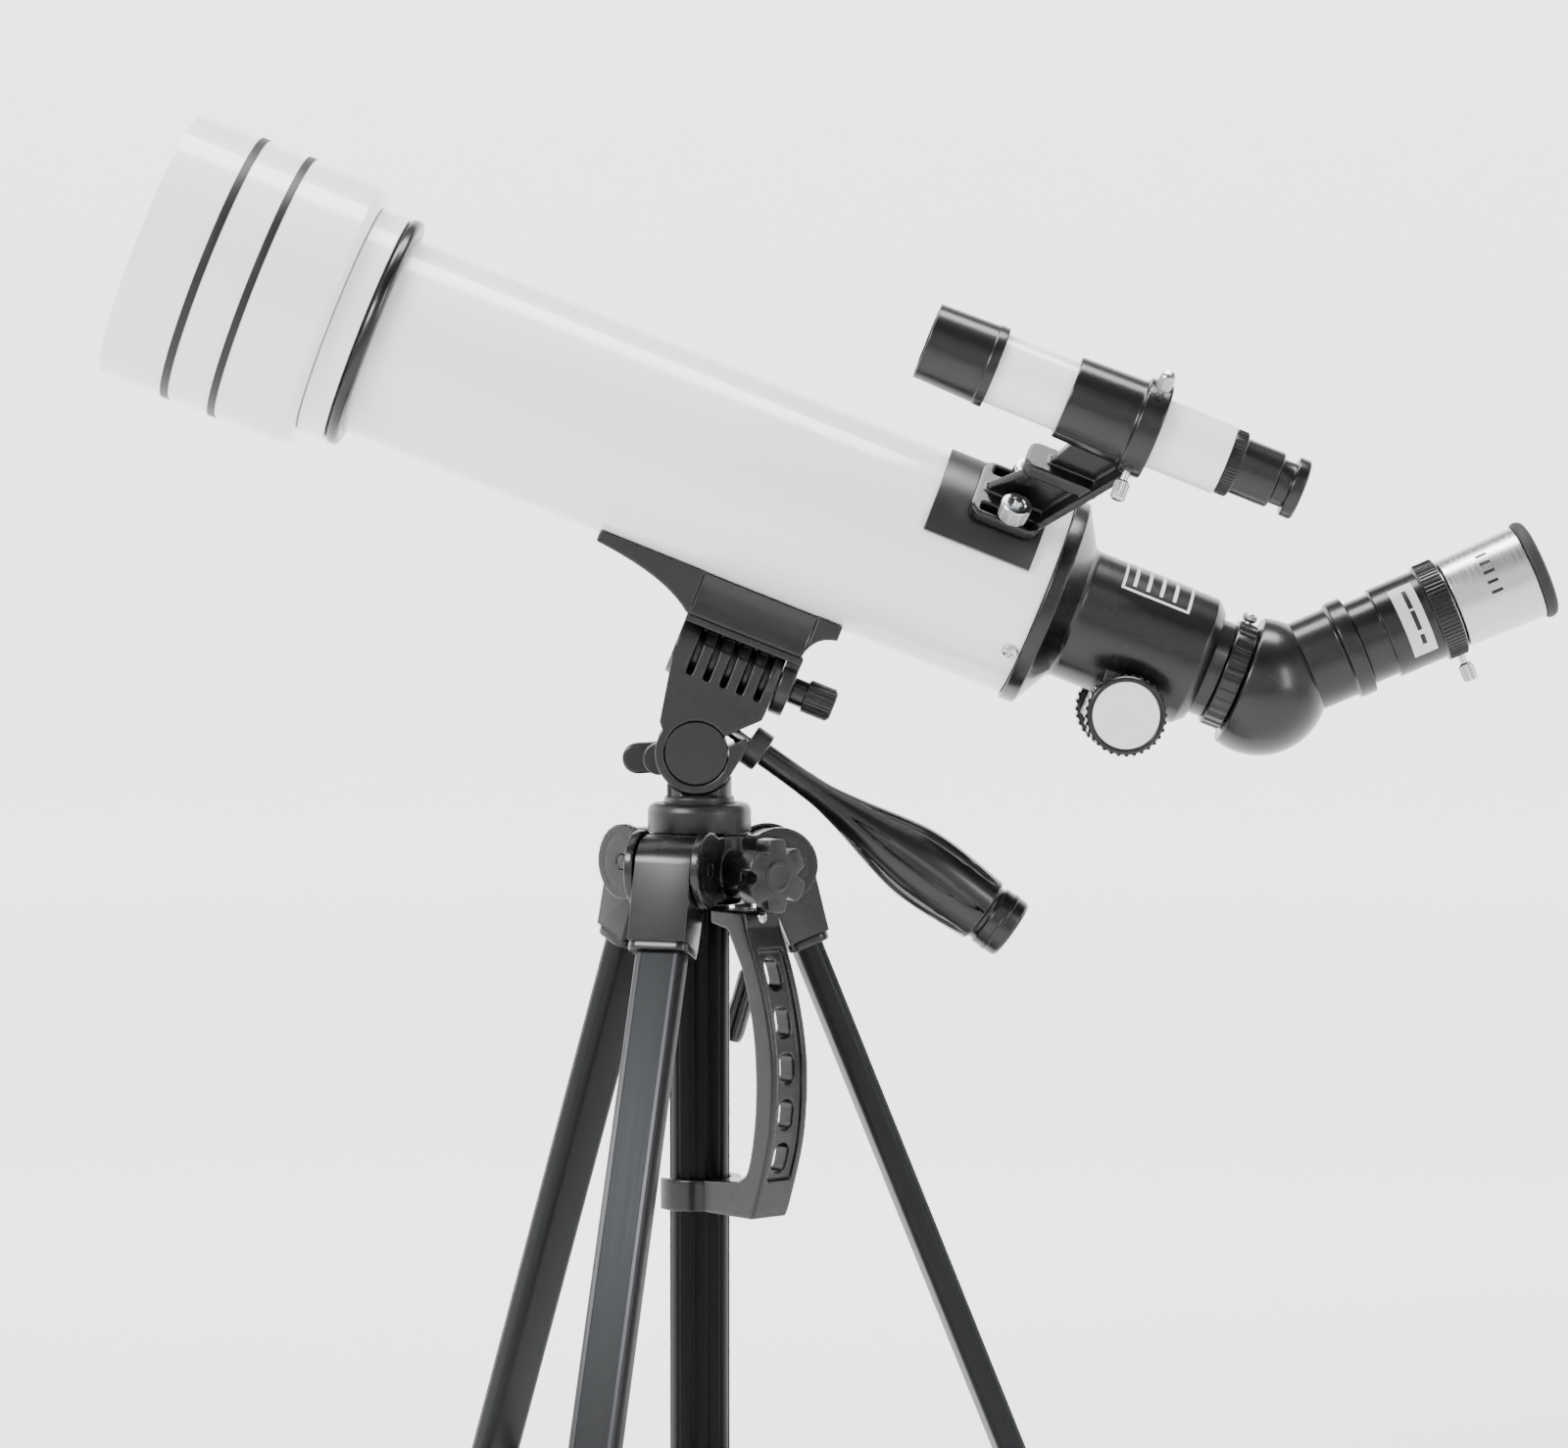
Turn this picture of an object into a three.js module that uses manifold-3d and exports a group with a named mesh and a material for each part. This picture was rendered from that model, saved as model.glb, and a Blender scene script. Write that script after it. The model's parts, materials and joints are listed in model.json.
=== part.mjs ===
// Telescope on tripod: a small white refractor with a finder, a 45 degree
// diagonal and a Barlow lens, on a pan and tilt head and a folding tripod.
// Millimetres, +Z up, +X towards the eyepiece, -Y towards the finder's side.
// The origin is at the middle of the footprint, on the floor.

import * as THREE from 'three';
import { mergeVertices } from 'three/addons/utils/BufferGeometryUtils.js';
import Module from 'manifold-3d';

// ---------------------------------------------------------------- dimensions

const FIT = 0.3;                     // gap between pieces that touch
const WIDE = 32;                     // sides of the tube and its rings
const ROUND = 20;                    // sides of a middling round part
const MIDDLE = 14;                   // sides of knobs and bosses
const SMALL = 8;                     // sides of a small round part

// Stand: heights above the floor and the spread of the three legs
const HINGE_HEIGHT = 342;
const PIVOT_HEIGHT = 386.1;
const PIVOT_X = -1.2;
const LEG_AZIMUTHS = { right: 10.5, back: 130.5, front: 250.5 };
const LEG_TILT = 22.1;
const LEG_LENGTH = HINGE_HEIGHT / Math.cos(LEG_TILT * Math.PI / 180);
const HINGE_RADIUS = 29.4;
const KNUCKLE_RADIUS = 13.4;
const EAR_RADIUS = 15;
const SLEEVE_WIDTH = 23;
const LEG_WIDTH = 20;
const LEG_DEPTH = 10.5;
const LEG_WALL = 1.3;
const LOCK_TOP = -306;
const LOCK_BOTTOM = -331;
const BRACE_ON_LEG = 280;
const HUB_HEIGHT = 102;
const HUB_PIN_RADIUS = 22;
const GUIDE_RADIUS = 11.75;
const GUIDE_BOTTOM = 62;
const COLUMN_RADIUS = 9.6;
const COLLAR_RADIUS = 20.3;
const KNOB_AZIMUTH = -49.5;
const CRANK_AZIMUTH = 70.5;

// Head: measured from the tilt pivot
const TRUNNION_RADIUS = 12.3;
const LOBE_RADIUS = 16;
const NECK_RADIUS = 12.7;
const LOCK_X = -12.4;
const LOCK_Z = -8.5;
const LOCK_BOSS_RADIUS = 6.3;
const BLOCK_HALF = 11.35;
const BARREL_RADIUS = 11.35;
const BARREL_V = 36.35;
const SOCKET_RADIUS = 8.05;
const HANDLE_DROP = 13.6;
const HANDLE_START = new THREE.Vector3(24.6, 0, 8.96);

// Telescope: x runs along the tube towards the eyepiece, z away from the head
const ELEVATION = 21.85;
const AXIS_V = 105.5;
const TUBE_RADIUS = 39.9;
const TUBE_WALL = 1.5;
const TUBE_FRONT = -179.6;
const TUBE_REAR = 101;
const CELL_RADIUS = 46.5;
const SHIELD_RADIUS = 53.8;
const SHIELD_FRONT = -270.4;
const SHIELD_REAR = -191.3;
const LENS_RADIUS = 35.5;
const HOUSING_RADIUS = 26.1;
const HOUSING_FRONT = 171.8;
const DRAWTUBE_RADIUS = 19.5;
const DRAWTUBE_REAR = 177.5;
const PINION_X = 148;
const PINION_Z = -29.1;
const PINION_RADIUS = 5.9;
const KNOB_RADIUS = 16;
const DIAGONAL_X = 194.8;
const DIAGONAL_RADIUS = 27;
const DIAGONAL_FACE = 186.6;
const EYEPIECE_NOSE = 15.85;
const REAR_SCREW_ANGLE = -124.7;
const REAR_SCREW_X = 97.3;
const COLLAR_SCREW_X = 181.5;
const BARLOW_SCREW_Z = 77.7;

// Finder: in a plane 45 degrees round the tube, its axis parallel to the tube
const FINDER_ANGLE = 45;
const FINDER_OFFSET = 106;
const FINDER_RADIUS = 13.8;
const PAD_FACE = 46.3;
const STUD_X = 78;
const STUD_SIDES = { lower: -10.3, upper: 10.3 };
const FINDER_SCREW_X = 110;
const FINDER_SCREW_ANGLES = { outer: 0, upper: 120, lower: 240 };

// ------------------------------------------------------------------- helpers

const wasm = await Module();
wasm.setup();

const degrees = THREE.MathUtils.degToRad;

// One closed mesh: shared vertices merged and empty triangles dropped
function clean(geometry) {
  const plain = geometry.clone();
  plain.deleteAttribute('normal');
  plain.deleteAttribute('uv');
  const merged = mergeVertices(plain, 1e-4);
  const index = merged.index.array;
  const kept = [];
  for (let i = 0; i < index.length; i += 3) {
    const [a, b, c] = [index[i], index[i + 1], index[i + 2]];
    if (a !== b && b !== c && a !== c) kept.push(a, b, c);
  }
  merged.setIndex(kept);
  return merged;
}

function toSolid(geometry) {
  const merged = clean(geometry);
  const vertProperties = new Float32Array(merged.attributes.position.array);
  const triVerts = new Uint32Array(merged.index.array);
  return new wasm.Manifold(new wasm.Mesh({ numProp: 3, vertProperties, triVerts }));
}

function toGeometry(solid) {
  const data = solid.getMesh();
  const geometry = new THREE.BufferGeometry();
  geometry.setAttribute('position', new THREE.BufferAttribute(data.vertProperties, 3));
  geometry.setIndex(new THREE.BufferAttribute(data.triVerts, 1));
  return geometry;
}

// Joins the first list of geometries and cuts the second list out of them
function carve(joined, cuts = []) {
  let solid = toSolid(joined[0]);
  for (const piece of joined.slice(1)) solid = solid.add(toSolid(piece));
  for (const piece of cuts) solid = solid.subtract(toSolid(piece));
  return toGeometry(solid);
}

// A solid turned about +Z from [radius, height] points
function turned(profile, sides = ROUND) {
  const points = profile.map(([radius, height]) => new THREE.Vector2(radius, height));
  const onAxis = points[0].x === 0 && points[points.length - 1].x === 0;
  if (THREE.ShapeUtils.area(points) < 0) points.reverse();
  if (!onAxis) points.push(points[0].clone());
  return new THREE.LatheGeometry(points, sides).rotateX(Math.PI / 2);
}

// The same turned about +X, from [radius, distance along X] points
function turnedX(profile, sides = ROUND) {
  return turned(profile, sides).rotateY(Math.PI / 2);
}

function rod(radius, from, to, sides = SMALL) {
  return turned([[0, from], [radius, from], [radius, to], [0, to]], sides);
}

function rodX(radius, from, to, sides = SMALL) {
  return rod(radius, from, to, sides).rotateY(Math.PI / 2);
}

function rodY(radius, from, to, sides = SMALL) {
  return rod(radius, -to, -from, sides).rotateX(Math.PI / 2);
}

function ring(inner, outer, from, to, sides = ROUND) {
  return turned([[inner, from], [outer, from], [outer, to], [inner, to]], sides);
}

function block(x0, x1, y0, y1, z0, z1) {
  const box = new THREE.BoxGeometry(x1 - x0, y1 - y0, z1 - z0);
  return box.translate((x0 + x1) / 2, (y0 + y1) / 2, (z0 + z1) / 2);
}

// A flat outline in X and Z, given thickness from y0 to y1
function slab(shape, y0, y1, curveSegments = 8) {
  const options = { depth: y1 - y0, bevelEnabled: false, curveSegments };
  return new THREE.ExtrudeGeometry(shape, options).rotateX(Math.PI / 2).translate(0, y1, 0);
}

// A rounded rectangle in X and Y, from z0 to z1
function roundedBar(width, depth, radius, z0, z1) {
  const [w, d] = [width / 2 - radius, depth / 2 - radius];
  const shape = new THREE.Shape();
  shape.absarc(w, d, radius, 0, Math.PI / 2);
  shape.absarc(-w, d, radius, Math.PI / 2, Math.PI);
  shape.absarc(-w, -d, radius, Math.PI, Math.PI * 1.5);
  shape.absarc(w, -d, radius, Math.PI * 1.5, Math.PI * 2);
  const options = { depth: z1 - z0, bevelEnabled: false, curveSegments: 2 };
  return new THREE.ExtrudeGeometry(shape, options).translate(0, 0, z0);
}

function outline(points) {
  return new THREE.Shape(points.map(([x, z]) => new THREE.Vector2(x, z)));
}

function finish(color, roughness, metalness) {
  return new THREE.MeshStandardMaterial({ color, roughness, metalness });
}

function piece(name, geometry, material) {
  const mesh = new THREE.Mesh(clean(geometry), material);
  mesh.name = name;
  return mesh;
}

function group(x, y, z, ...children) {
  const made = new THREE.Group();
  made.position.set(x, y, z);
  made.add(...children);
  return made;
}

const gloss = {
  white: finish('#f3f4f5', 0.18, 0),
  black: finish('#1b1b1c', 0.35, 0),
  satin: finish('#2b2b2d', 0.5, 0),
  graphite: finish('#4a4c4f', 0.35, 0.8),
  steel: finish('#c9cccf', 0.25, 1),
  rubber: finish('#151515', 0.8, 0),
  glass: finish('#b9d3d6', 0.05, 0),
  disc: finish('#dcdddf', 0.5, 0),
};

// ------------------------------------------------------------ optical tube

// Turns a radial piece, made along +Z, about the tube's axis to an angle
// measured from straight up, positive away from the finder's side
function roundTube(geometry, angle, x) {
  return geometry.rotateX(-degrees(angle)).translate(x, 0, 0);
}

function mainTube() {
  const bore = TUBE_RADIUS - TUBE_WALL;
  const shell = turnedX([
    [bore, TUBE_FRONT], [TUBE_RADIUS, TUBE_FRONT], [TUBE_RADIUS, TUBE_REAR], [bore, TUBE_REAR],
  ], WIDE);
  const holes = [roundTube(rod(1.8, 30, 45, SMALL), REAR_SCREW_ANGLE, REAR_SCREW_X)];
  return piece('main_tube', carve([shell], holes), gloss.white);
}

function objectiveCell() {
  const spigot = TUBE_RADIUS - TUBE_WALL - FIT;
  return piece('objective_cell', turnedX([
    [LENS_RADIUS + FIT, -191], [CELL_RADIUS, -191], [CELL_RADIUS, TUBE_FRONT - FIT],
    [spigot, TUBE_FRONT - FIT], [spigot, -166], [33.5, -166], [33.5, -183.8],
    [LENS_RADIUS + FIT, -183.8],
  ], WIDE), gloss.white);
}

function objectiveLens() {
  return piece('objective_lens', turnedX([
    [0, -190.6], [12, -190.3], [24, -189.2], [LENS_RADIUS, -187.6], [LENS_RADIUS, -184.8],
    [24, -184.3], [0, -184.1],
  ], 32), gloss.glass);
}

function cellRing() {
  const [inner, outer] = [TUBE_RADIUS + FIT, 46.7];
  return piece('cell_ring', turnedX([
    [inner, TUBE_FRONT], [outer - 2, TUBE_FRONT], [outer - 0.5, -178.8], [outer, -177.6],
    [outer, -176.2], [outer - 0.5, -175], [outer - 2, -174.3], [inner, -174.3],
  ], WIDE), gloss.black);
}

function dewShield() {
  const inner = SHIELD_RADIUS - 2.2;
  return piece('dew_shield', turnedX([
    [inner, SHIELD_FRONT], [SHIELD_RADIUS, SHIELD_FRONT], [SHIELD_RADIUS, SHIELD_REAR - 3.4],
    [SHIELD_RADIUS - 0.8, SHIELD_REAR - 1.3], [SHIELD_RADIUS - 2.6, SHIELD_REAR],
    [37, SHIELD_REAR], [37, SHIELD_REAR - 2.4], [inner, SHIELD_REAR - 2.4],
  ], WIDE), gloss.white);
}

function rearScrew() {
  const head = turned([
    [0, 34], [1.4, 34], [1.4, TUBE_RADIUS + 0.25], [3.25, TUBE_RADIUS + 0.25],
    [3.0, TUBE_RADIUS + 1.5], [1.9, TUBE_RADIUS + 2.1], [0, TUBE_RADIUS + 2.2],
  ], SMALL);
  const slots = [
    block(-2, 2, -0.35, 0.35, TUBE_RADIUS + 1.2, TUBE_RADIUS + 3),
    block(-0.35, 0.35, -2, 2, TUBE_RADIUS + 1.2, TUBE_RADIUS + 3),
  ];
  const screw = roundTube(carve([head], slots), REAR_SCREW_ANGLE, REAR_SCREW_X);
  return piece('rear_cell_screw', screw, gloss.steel);
}

// Rear cell and focuser body, one moulding with a pinion box underneath
function focuserHousing() {
  const spigot = TUBE_RADIUS - TUBE_WALL - FIT;
  const bore = DRAWTUBE_RADIUS + FIT;
  const body = turnedX([
    [spigot, 90], [spigot, 101.3], [41.7, 101.3], [41.7, 107], [HOUSING_RADIUS, 115.8],
    [HOUSING_RADIUS, 167.7], [22.4, HOUSING_FRONT], [bore, HOUSING_FRONT], [bore, 118],
    [35.5, 107], [35.5, 90],
  ], WIDE);
  const box = carve(
    [block(135, 161, -21, 21, -36, -14)],
    [rodX(bore, 130, 165, WIDE)],
  );
  const cuts = [
    block(90, 175, -4.4, 4.4, -23, -15),
    rodY(PINION_RADIUS + 0.4, -6.5, 6.5, ROUND).translate(PINION_X, 0, PINION_Z),
    rodY(2.4, -23, 23).translate(PINION_X, 0, PINION_Z),
    roundTube(rod(1.8, 30, 45, SMALL), REAR_SCREW_ANGLE, REAR_SCREW_X),
  ];
  return piece('focuser_housing', carve([body, box], cuts), gloss.black);
}

function drawtube() {
  const shell = turnedX([
    [17.6, 92], [DRAWTUBE_RADIUS, 92], [DRAWTUBE_RADIUS, DRAWTUBE_REAR],
    [17.6, DRAWTUBE_REAR],
  ]);
  const rack = block(92, 158, -4, 4, -22.6, -18.4);
  return piece('drawtube', carve([shell, rack]), gloss.black);
}

function knobDisc(from, to) {
  return rodY(KNOB_RADIUS, from, to, ROUND);
}

function focusShaft() {
  const shaft = rodY(2, -30, 35.5);
  const pinion = rodY(PINION_RADIUS - 0.3, -5, 5, MIDDLE);
  const made = carve([shaft, pinion, knobDisc(24, 35)]);
  return piece('focus_shaft', made.translate(PINION_X, 0, PINION_Z), gloss.black);
}

function focusKnob() {
  const made = carve([knobDisc(-35, -24)], [rodY(2.3, -30.4, -20)]);
  return piece('focus_knob', made.translate(PINION_X, 0, PINION_Z), gloss.disc);
}

function drawtubeCollar() {
  const band = turnedX([[16.3, 177.9], [21.6, 177.9], [21.6, 186.2], [16.3, 186.2]]);
  const hole = rod(1.8, 14, 26, SMALL).translate(COLLAR_SCREW_X, 0, 0);
  return piece('drawtube_collar', carve([band], [hole]), gloss.black);
}

function collarScrew() {
  const screw = turned([[0, 16.6], [1.5, 16.6], [1.5, 22], [2.7, 22], [2.7, 25], [0, 25.4]], SMALL);
  return piece('collar_screw', screw.translate(COLLAR_SCREW_X, 0, 0), gloss.steel);
}

// ------------------------------------------------- diagonal, Barlow, eyepiece

function angled(geometry) {
  return geometry.rotateY(degrees(45)).translate(DIAGONAL_X, 0, 0);
}

function diagonalHousing() {
  const ball = new THREE.SphereGeometry(DIAGONAL_RADIUS, 20, 10).translate(DIAGONAL_X, 0, 0);
  const barrel = angled(turned([
    [0, 8], [18.2, 8], [18.2, 35], [19.8, 35], [19.8, 42], [0, 42],
  ]));
  const nose = rodX(EYEPIECE_NOSE, 160, 192, ROUND);
  const front = block(130, DIAGONAL_FACE, -40, 40, -40, 40);
  const cavity = new THREE.SphereGeometry(20.5, 10, 6).translate(DIAGONAL_X, 0, 0);
  const frontWall = block(130, DIAGONAL_FACE + 3, -40, 40, -40, 40);
  const cuts = [
    rodX(13.6, 150, 196, ROUND),
    carve([cavity], [frontWall]),
    angled(rod(EYEPIECE_NOSE + FIT, 5, 50, ROUND)),
  ];
  const shell = carve([carve([ball, barrel], [front]), nose], cuts);
  return piece('diagonal_housing', shell, gloss.black);
}

function diagonalPrism() {
  const glass = block(-3, 11, -8.5, 8.5, -12.5, -8).rotateY(degrees(-22.5));
  return piece('diagonal_prism', glass.translate(DIAGONAL_X, 0, 0), gloss.glass);
}

function barlowBody() {
  const bore = EYEPIECE_NOSE + FIT;
  const body = turned([
    [13.2, 24], [EYEPIECE_NOSE, 24], [EYEPIECE_NOSE, 42.3], [16.9, 42.3], [16.9, 52.8],
    [18.3, 52.8], [18.3, 72.2], [19.8, 72.2], [19.8, 81.3], [bore, 81.3], [bore, 58],
    [13.2, 58],
  ]);
  const hole = rodX(1.8, 10, 30, SMALL).translate(0, 0, BARLOW_SCREW_Z);
  return piece('barlow_body', angled(carve([body], [hole])), gloss.black);
}

function barlowScrew() {
  const screw = turnedX([
    [0, 16.3], [1.5, 16.3], [1.5, 23.2], [2.85, 23.2], [2.85, 30.2], [2.3, 30.8], [0, 30.8],
  ], SMALL).translate(0, 0, BARLOW_SCREW_Z);
  return piece('barlow_screw', angled(screw), gloss.steel);
}

function eyepieceBarrel() {
  return piece('eyepiece_barrel', angled(turned([
    [12, 62], [EYEPIECE_NOSE, 62], [EYEPIECE_NOSE, 82], [17.9, 82], [18.7, 114.4],
    [9.6, 114.4], [9.6, 108], [12, 104],
  ])), gloss.steel);
}

function eyepieceLens() {
  return piece('eyepiece_lens', angled(turned([
    [0, 108.6], [9.2, 109.4], [9.2, 112.2], [0, 113],
  ], SMALL)), gloss.glass);
}

function eyeCup() {
  return piece('eye_cup', angled(turned([
    [9.6, 114.8], [19.9, 114.8], [19.9, 117.4], [19.1, 119], [17, 119.8], [11.5, 119.6],
    [9.6, 118.4],
  ])), gloss.rubber);
}

// ------------------------------------------------------------------- finder

// In the finder's group z is the distance from the tube's axis
function finderBase() {
  const half = degrees(33);
  const [inner, outer] = [TUBE_RADIUS + FIT, TUBE_RADIUS + 2.6];
  const shape = new THREE.Shape();
  shape.absarc(0, 0, outer, Math.PI / 2 - half, Math.PI / 2 + half, false);
  shape.absarc(0, 0, inner, Math.PI / 2 + half, Math.PI / 2 - half, true);
  const options = { depth: 43.7, bevelEnabled: false, curveSegments: 8 };
  const plate = new THREE.ExtrudeGeometry(shape, options);
  plate.rotateZ(-Math.PI / 2).rotateY(-Math.PI / 2).translate(92, 0, 0);
  const studs = Object.values(STUD_SIDES).map((y) => (
    rod(1.7, 40.3, 56.5, SMALL).translate(STUD_X, y, 0)
  ));
  return piece('finder_base', carve([plate, ...studs]), gloss.satin);
}

function finderBracket() {
  const pad = roundedBar(28.5, 29, 5, 41, PAD_FACE).translate(75.75, 0, 0);
  const seat = rodX(TUBE_RADIUS + 3, 50, 100, WIDE);
  const slots = Object.values(STUD_SIDES).map((y) => block(66, 87, y - 2, y + 2, 38, 50));
  const web = slab(outline([
    [64, 45], [88, 45], [112, 92], [90, 92], [83, 72], [76, 62],
  ]), -2, 2);
  const rib = slab(outline([[87, 44], [90, 44], [115, 92], [112, 92]]), -9, 9);
  const ledge = roundedBar(31, 14, 4, 66, 72).translate(89.5, 0, 0);
  const sleeve = turnedX([
    [0, 78.6], [16.1, 78.6], [16.8, 105.5], [18.8, 105.5], [18.8, 115], [0, 115],
  ]).translate(0, 0, FINDER_OFFSET);
  const nutRoom = Object.values(STUD_SIDES).map((y) => (
    rod(6.9, PAD_FACE, 57.5).translate(STUD_X, y, 0)
  ));
  const bore = turnedX([
    [0, 76], [FINDER_RADIUS + FIT, 76], [FINDER_RADIUS + FIT, 103], [15.4, 104],
    [15.4, 120], [0, 120],
  ]).translate(0, 0, FINDER_OFFSET);
  const screwHoles = Object.values(FINDER_SCREW_ANGLES).map((angle) => (
    roundTube(rod(1.8, 10, 25, SMALL), angle, FINDER_SCREW_X).translate(0, 0, FINDER_OFFSET)
  ));
  const arm = carve([web, rib, ledge], nutRoom);
  const made = carve([pad, arm, sleeve], [seat, ...slots, bore, ...screwHoles]);
  return piece('finder_bracket', made, gloss.black);
}

function finderScrew(angle, label) {
  const screw = turned([
    [0, 14.15], [1.5, 14.15], [1.5, 22.4], [2.7, 22.8], [2.9, 24], [2.9, 29.4], [2, 30.4],
    [0, 30.4],
  ], SMALL);
  const placed = roundTube(screw, angle, FINDER_SCREW_X).translate(0, 0, FINDER_OFFSET);
  return piece(`finder_screw_${label}`, placed, gloss.steel);
}

function finderNut(y, label) {
  const nut = ring(1.95, 6, PAD_FACE + 0.3, 54, 28).translate(STUD_X, y, 0);
  return piece(`finder_nut_${label}`, nut, gloss.steel);
}

function finderTube() {
  return piece('finder_tube', turnedX([
    [12.3, 40], [FINDER_RADIUS, 40], [FINDER_RADIUS, 142.8], [8.4, 142.8], [8.4, 140],
    [12.3, 140],
  ]).translate(0, 0, FINDER_OFFSET), gloss.white);
}

function finderHood() {
  return piece('finder_hood', turnedX([
    [13.4, 21.9], [14.8, 21.9], [15.5, 45.6], [15.9, 45.6], [15.9, 49.7],
    [FINDER_RADIUS + FIT, 49.7], [FINDER_RADIUS + FIT, 39.6], [13.4, 39.6],
  ]).translate(0, 0, FINDER_OFFSET), gloss.black);
}

function finderLens() {
  return piece('finder_lens', turnedX([
    [0, 42.6], [8, 43], [12, 44], [12, 46.6], [0, 46.2],
  ], 24).translate(0, 0, FINDER_OFFSET), gloss.glass);
}

function finderEyepiece() {
  return piece('finder_eyepiece', turnedX([
    [6.4, 132], [8.1, 132], [8.1, 143.1], [12.95, 143.1], [12.95, 148], [11, 148], [11, 163],
    [8.9, 163], [8.9, 168.7], [11.8, 168.7], [11.8, 173.2], [11.2, 173.9], [7.2, 173.9],
    [5.6, 170], [5.6, 150], [6.4, 148],
  ]).translate(0, 0, FINDER_OFFSET), gloss.black);
}

// --------------------------------------------------------------------- head

// Saddle: a cradle under the tube that flares out of the flip platform
function saddle() {
  const shape = new THREE.Shape();
  shape.moveTo(-66.8, 68.6);
  shape.lineTo(-66.8, 62.4);
  shape.quadraticCurveTo(-36, 59.5, -24, 49.6);
  shape.lineTo(24, 49.6);
  shape.quadraticCurveTo(25.5, 59.6, 34.7, 61);
  shape.lineTo(34.7, 68.6);
  const tube = rodX(TUBE_RADIUS + 0.5, -80, 60, WIDE).translate(0, 0, AXIS_V);
  return piece('saddle', carve([slab(shape, -13, 13, 8)], [tube]), gloss.satin);
}

// Platform: the plate under the saddle, its end lug and the axle in the barrel
function flipPlatform() {
  const plate = block(-23.5, 25.3, -11, 11, BARREL_V + BARREL_RADIUS + 0.4, 49.3);
  const lug = rodX(BARREL_RADIUS, 19.7, 25.3, ROUND).translate(0, 0, BARREL_V);
  const cheek = block(19.7, 25.3, -11, 11, BARREL_V, 49.3);
  const axle = rodX(5, -20, 20, ROUND).translate(0, 0, BARREL_V);
  const bore = rodX(2.7, 12, 30, SMALL).translate(0, 0, BARREL_V);
  return piece('flip_platform', carve([plate, lug, cheek, axle], [bore]), gloss.satin);
}

function flipKnob() {
  const knob = turnedX([
    [0, 13], [2.4, 13], [2.4, 25.6], [5.35, 25.6], [5.35, 31], [6.6, 31.4], [6.6, 42.6],
    [6.1, 43.2], [0, 43.2],
  ], 24).translate(0, 0, BARREL_V);
  return piece('flip_knob', knob, gloss.black);
}

// The tilting block: a slotted barrel, a split clamp ring round the trunnion,
// a socket for the handle and a boss for the lock on the far side
function tiltBlock() {
  const shape = new THREE.Shape();
  shape.moveTo(-18.5, 46);
  shape.quadraticCurveTo(-23, 43.5, -23.9, 37.9);
  shape.lineTo(-17.8, 6);
  shape.lineTo(-15.6, 3.6);
  shape.absarc(0, 0, LOBE_RADIUS, Math.PI - 0.23, Math.PI * 2 - 0.19, false);
  shape.lineTo(17.9, 9.6);
  shape.lineTo(16.1, 12.6);
  shape.lineTo(10.4, 6.9);
  shape.lineTo(8, 10.3);
  shape.lineTo(19, 21.3);
  shape.lineTo(19.3, 25);
  shape.lineTo(19.3, 38);
  shape.lineTo(12, 46);
  const flipRoom = block(-30, 30, 0, 20, BARREL_V, 60);
  const body = carve([slab(shape, -BLOCK_HALF, BLOCK_HALF, 8)], [flipRoom]);
  const barrel = rodX(BARREL_RADIUS, -23.4, 19.3, ROUND).translate(0, 0, BARREL_V);
  const socket = rodX(SOCKET_RADIUS, -7.5, 0, ROUND);
  socket.rotateY(degrees(HANDLE_DROP)).translate(HANDLE_START.x, 0, HANDLE_START.z);
  const boss = rodY(LOCK_BOSS_RADIUS, 6.6, 14, ROUND).translate(LOCK_X, 0, LOCK_Z);
  const slots = [0, 1, 2, 3, 4].map((i) => (
    block(-15.6 + i * 7.03, -12.8 + i * 7.03, -15, -BARREL_RADIUS + 3.2, 27.6, 47.2)
  ));
  const screwHole = rodX(2.8, -22, 2, SMALL);
  screwHole.rotateY(degrees(HANDLE_DROP)).translate(HANDLE_START.x, 0, HANDLE_START.z);
  const cuts = [
    rodY(TRUNNION_RADIUS + FIT, -20, 20, ROUND),
    block(-24, 30, -6.4, 6.4, -20, 1.6),
    rodX(5.4, -21, 30, ROUND).translate(0, 0, BARREL_V),
    rodY(1.9, 8, 30, SMALL).translate(LOCK_X, 0, LOCK_Z),
    screwHole,
    ...slots,
  ];
  return piece('tilt_block', carve([body, barrel, socket, boss], cuts), gloss.satin);
}

function tiltLock() {
  const hub = rodY(5.5, 14.4, 26.4, MIDDLE);
  const screw = rodY(1.6, 8.6, 16, SMALL);
  const wing = slab(outline([
    [0, -5], [10, -5.5], [14, -3], [15, 1], [13, 5], [8, 6], [0, 5.5], [-8, 6], [-13, 5],
    [-15, 1], [-14, -3], [-10, -5.5],
  ]), 20.7, 25.2);
  const made = carve([hub, screw, wing]).rotateY(degrees(-25));
  return piece('tilt_lock', made.translate(LOCK_X, 0, LOCK_Z), gloss.black);
}

// Pan handle: threaded tip, thin neck and a swelling grip with an end cap
function panHandle() {
  const handle = turnedX([
    [0, -20], [2.4, -20], [2.4, 0.3], [4.7, 0.3], [4.7, 16], [5.6, 30], [8.4, 44],
    [11.8, 58], [14.2, 70], [14.8, 80], [14.3, 92], [13.1, 106], [11.4, 106.8],
    [11.4, 108.2], [12.3, 109], [12.3, 118.4], [11.4, 119.6], [0, 119.6],
  ], ROUND);
  const mesh = piece('pan_handle', handle, gloss.black);
  mesh.rotation.y = degrees(HANDLE_DROP);
  mesh.position.copy(HANDLE_START);
  return mesh;
}

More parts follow.
